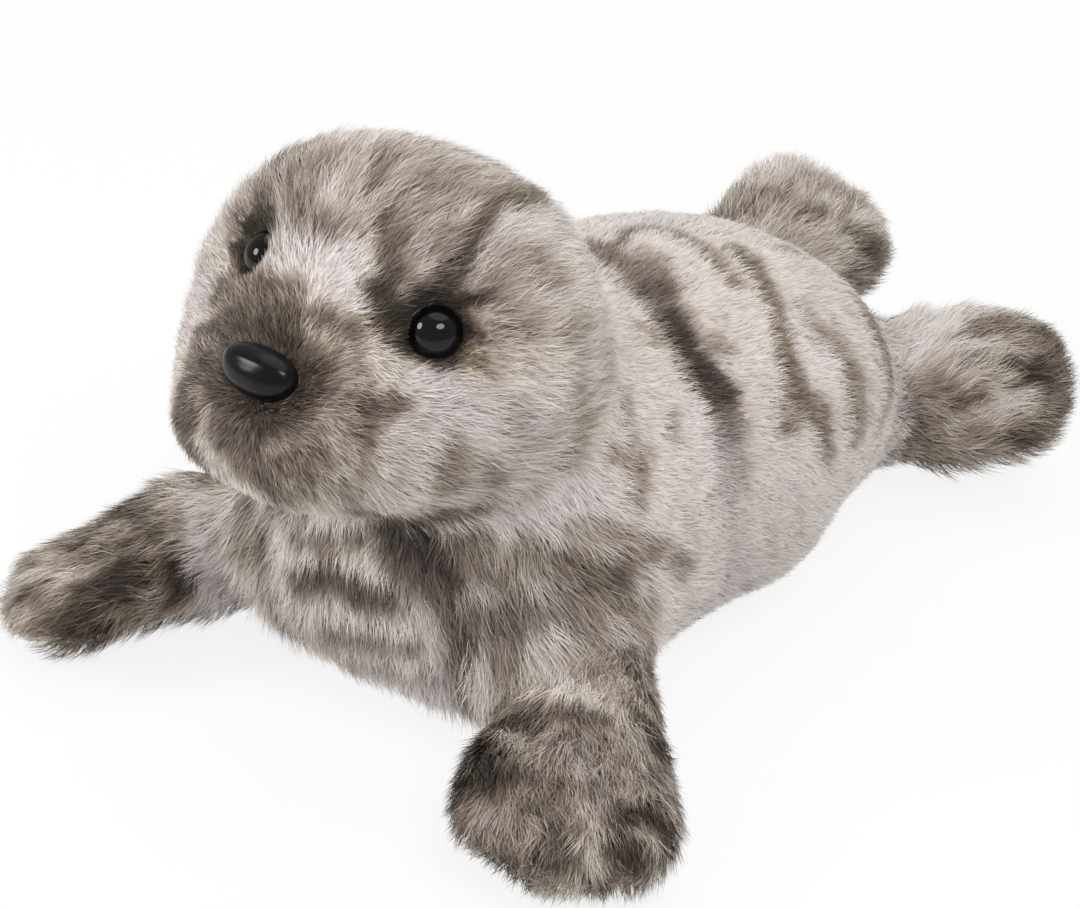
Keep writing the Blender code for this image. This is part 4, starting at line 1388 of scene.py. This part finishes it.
covers_body = [(solids[name], 0.0045) for name in ("head",) + FLIPPERS]
covers_head = [(solids["body"], 0.0045)]
covers_flipper = [(solids["body"], 0.003)]
piles = []
for name, low, high, count, seed in (
    ("body_pile_front", -1.0, -0.062, 42000, 41),
    ("body_pile_middle", -0.062, 0.010, 50000, 42),
    ("body_pile_rear", 0.010, 1.0, 50000, 43),
):
    piece = grow_pile(
        name, body_skin, "body", body_strokes, band(low, high), int(count * SHARE),
        body_lie, body_length, CHEST if low < -0.5 else SHORT, seed, covers_body,
    )
    piles.append((piece, "body_plush"))
for name, low, high, count, seed in (
    ("head_pile_face", -1.0, -0.112, 42000, 51),
    ("head_pile_crown", -0.112, 1.0, 44000, 52),
):
    piece = grow_pile(
        name, head_skin, "head", head_strokes, band(low, high), int(count * SHARE),
        head_lie, head_length, LONG, seed, covers_head,
    )
    piles.append((piece, "head_plush"))


def flipper_lie(name):
    """Combing from the flipper's root out to its end."""
    co = points_of(flipper_skins[name].data)
    gap = np.linalg.norm(co * np.array([1.0, 1.0, 0.6]), axis=1)
    root = co[gap < np.percentile(gap, 12)].mean(axis=0)
    end = co[gap > np.percentile(gap, 90)].mean(axis=0)
    start = root - (end - root) * 0.35

    def lie(points, normals):
        return level(points - start[None, :] + np.array([0.0, 0.0, -0.004]), normals)

    return lie


def flipper_length(points):
    return np.full(len(points), FLIPPER_HAIR)


for name, count, seed in (
    ("left_front_flipper", 30000, 61),
    ("right_front_flipper", 20000, 62),
    ("left_hind_flipper", 18000, 63),
    ("right_hind_flipper", 15000, 64),
):
    piece = grow_pile(
        name + "_pile", flipper_skins[name], "flipper", flipper_strokes[name],
        band(-1.0, 1.0), int(count * SHARE),
        flipper_lie(name), flipper_length, SHAGGY, seed, covers_flipper,
    )
    piles.append((piece, "flipper_plush"))

for piece, slot in piles:
    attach(piece, "root")

EYE_GLOSS = gloss_material("glossy eye plastic", (0.0015, 0.0015, 0.002), 0.05, 0.34)
NOSE_GLOSS = gloss_material("glossy nose plastic", (0.003, 0.003, 0.004), 0.22, 0.24)
make_eye("left_eye", EYE_GLOSS)
make_eye("right_eye", EYE_GLOSS)
make_nose("nose", NOSE_GLOSS)
dress_washers()
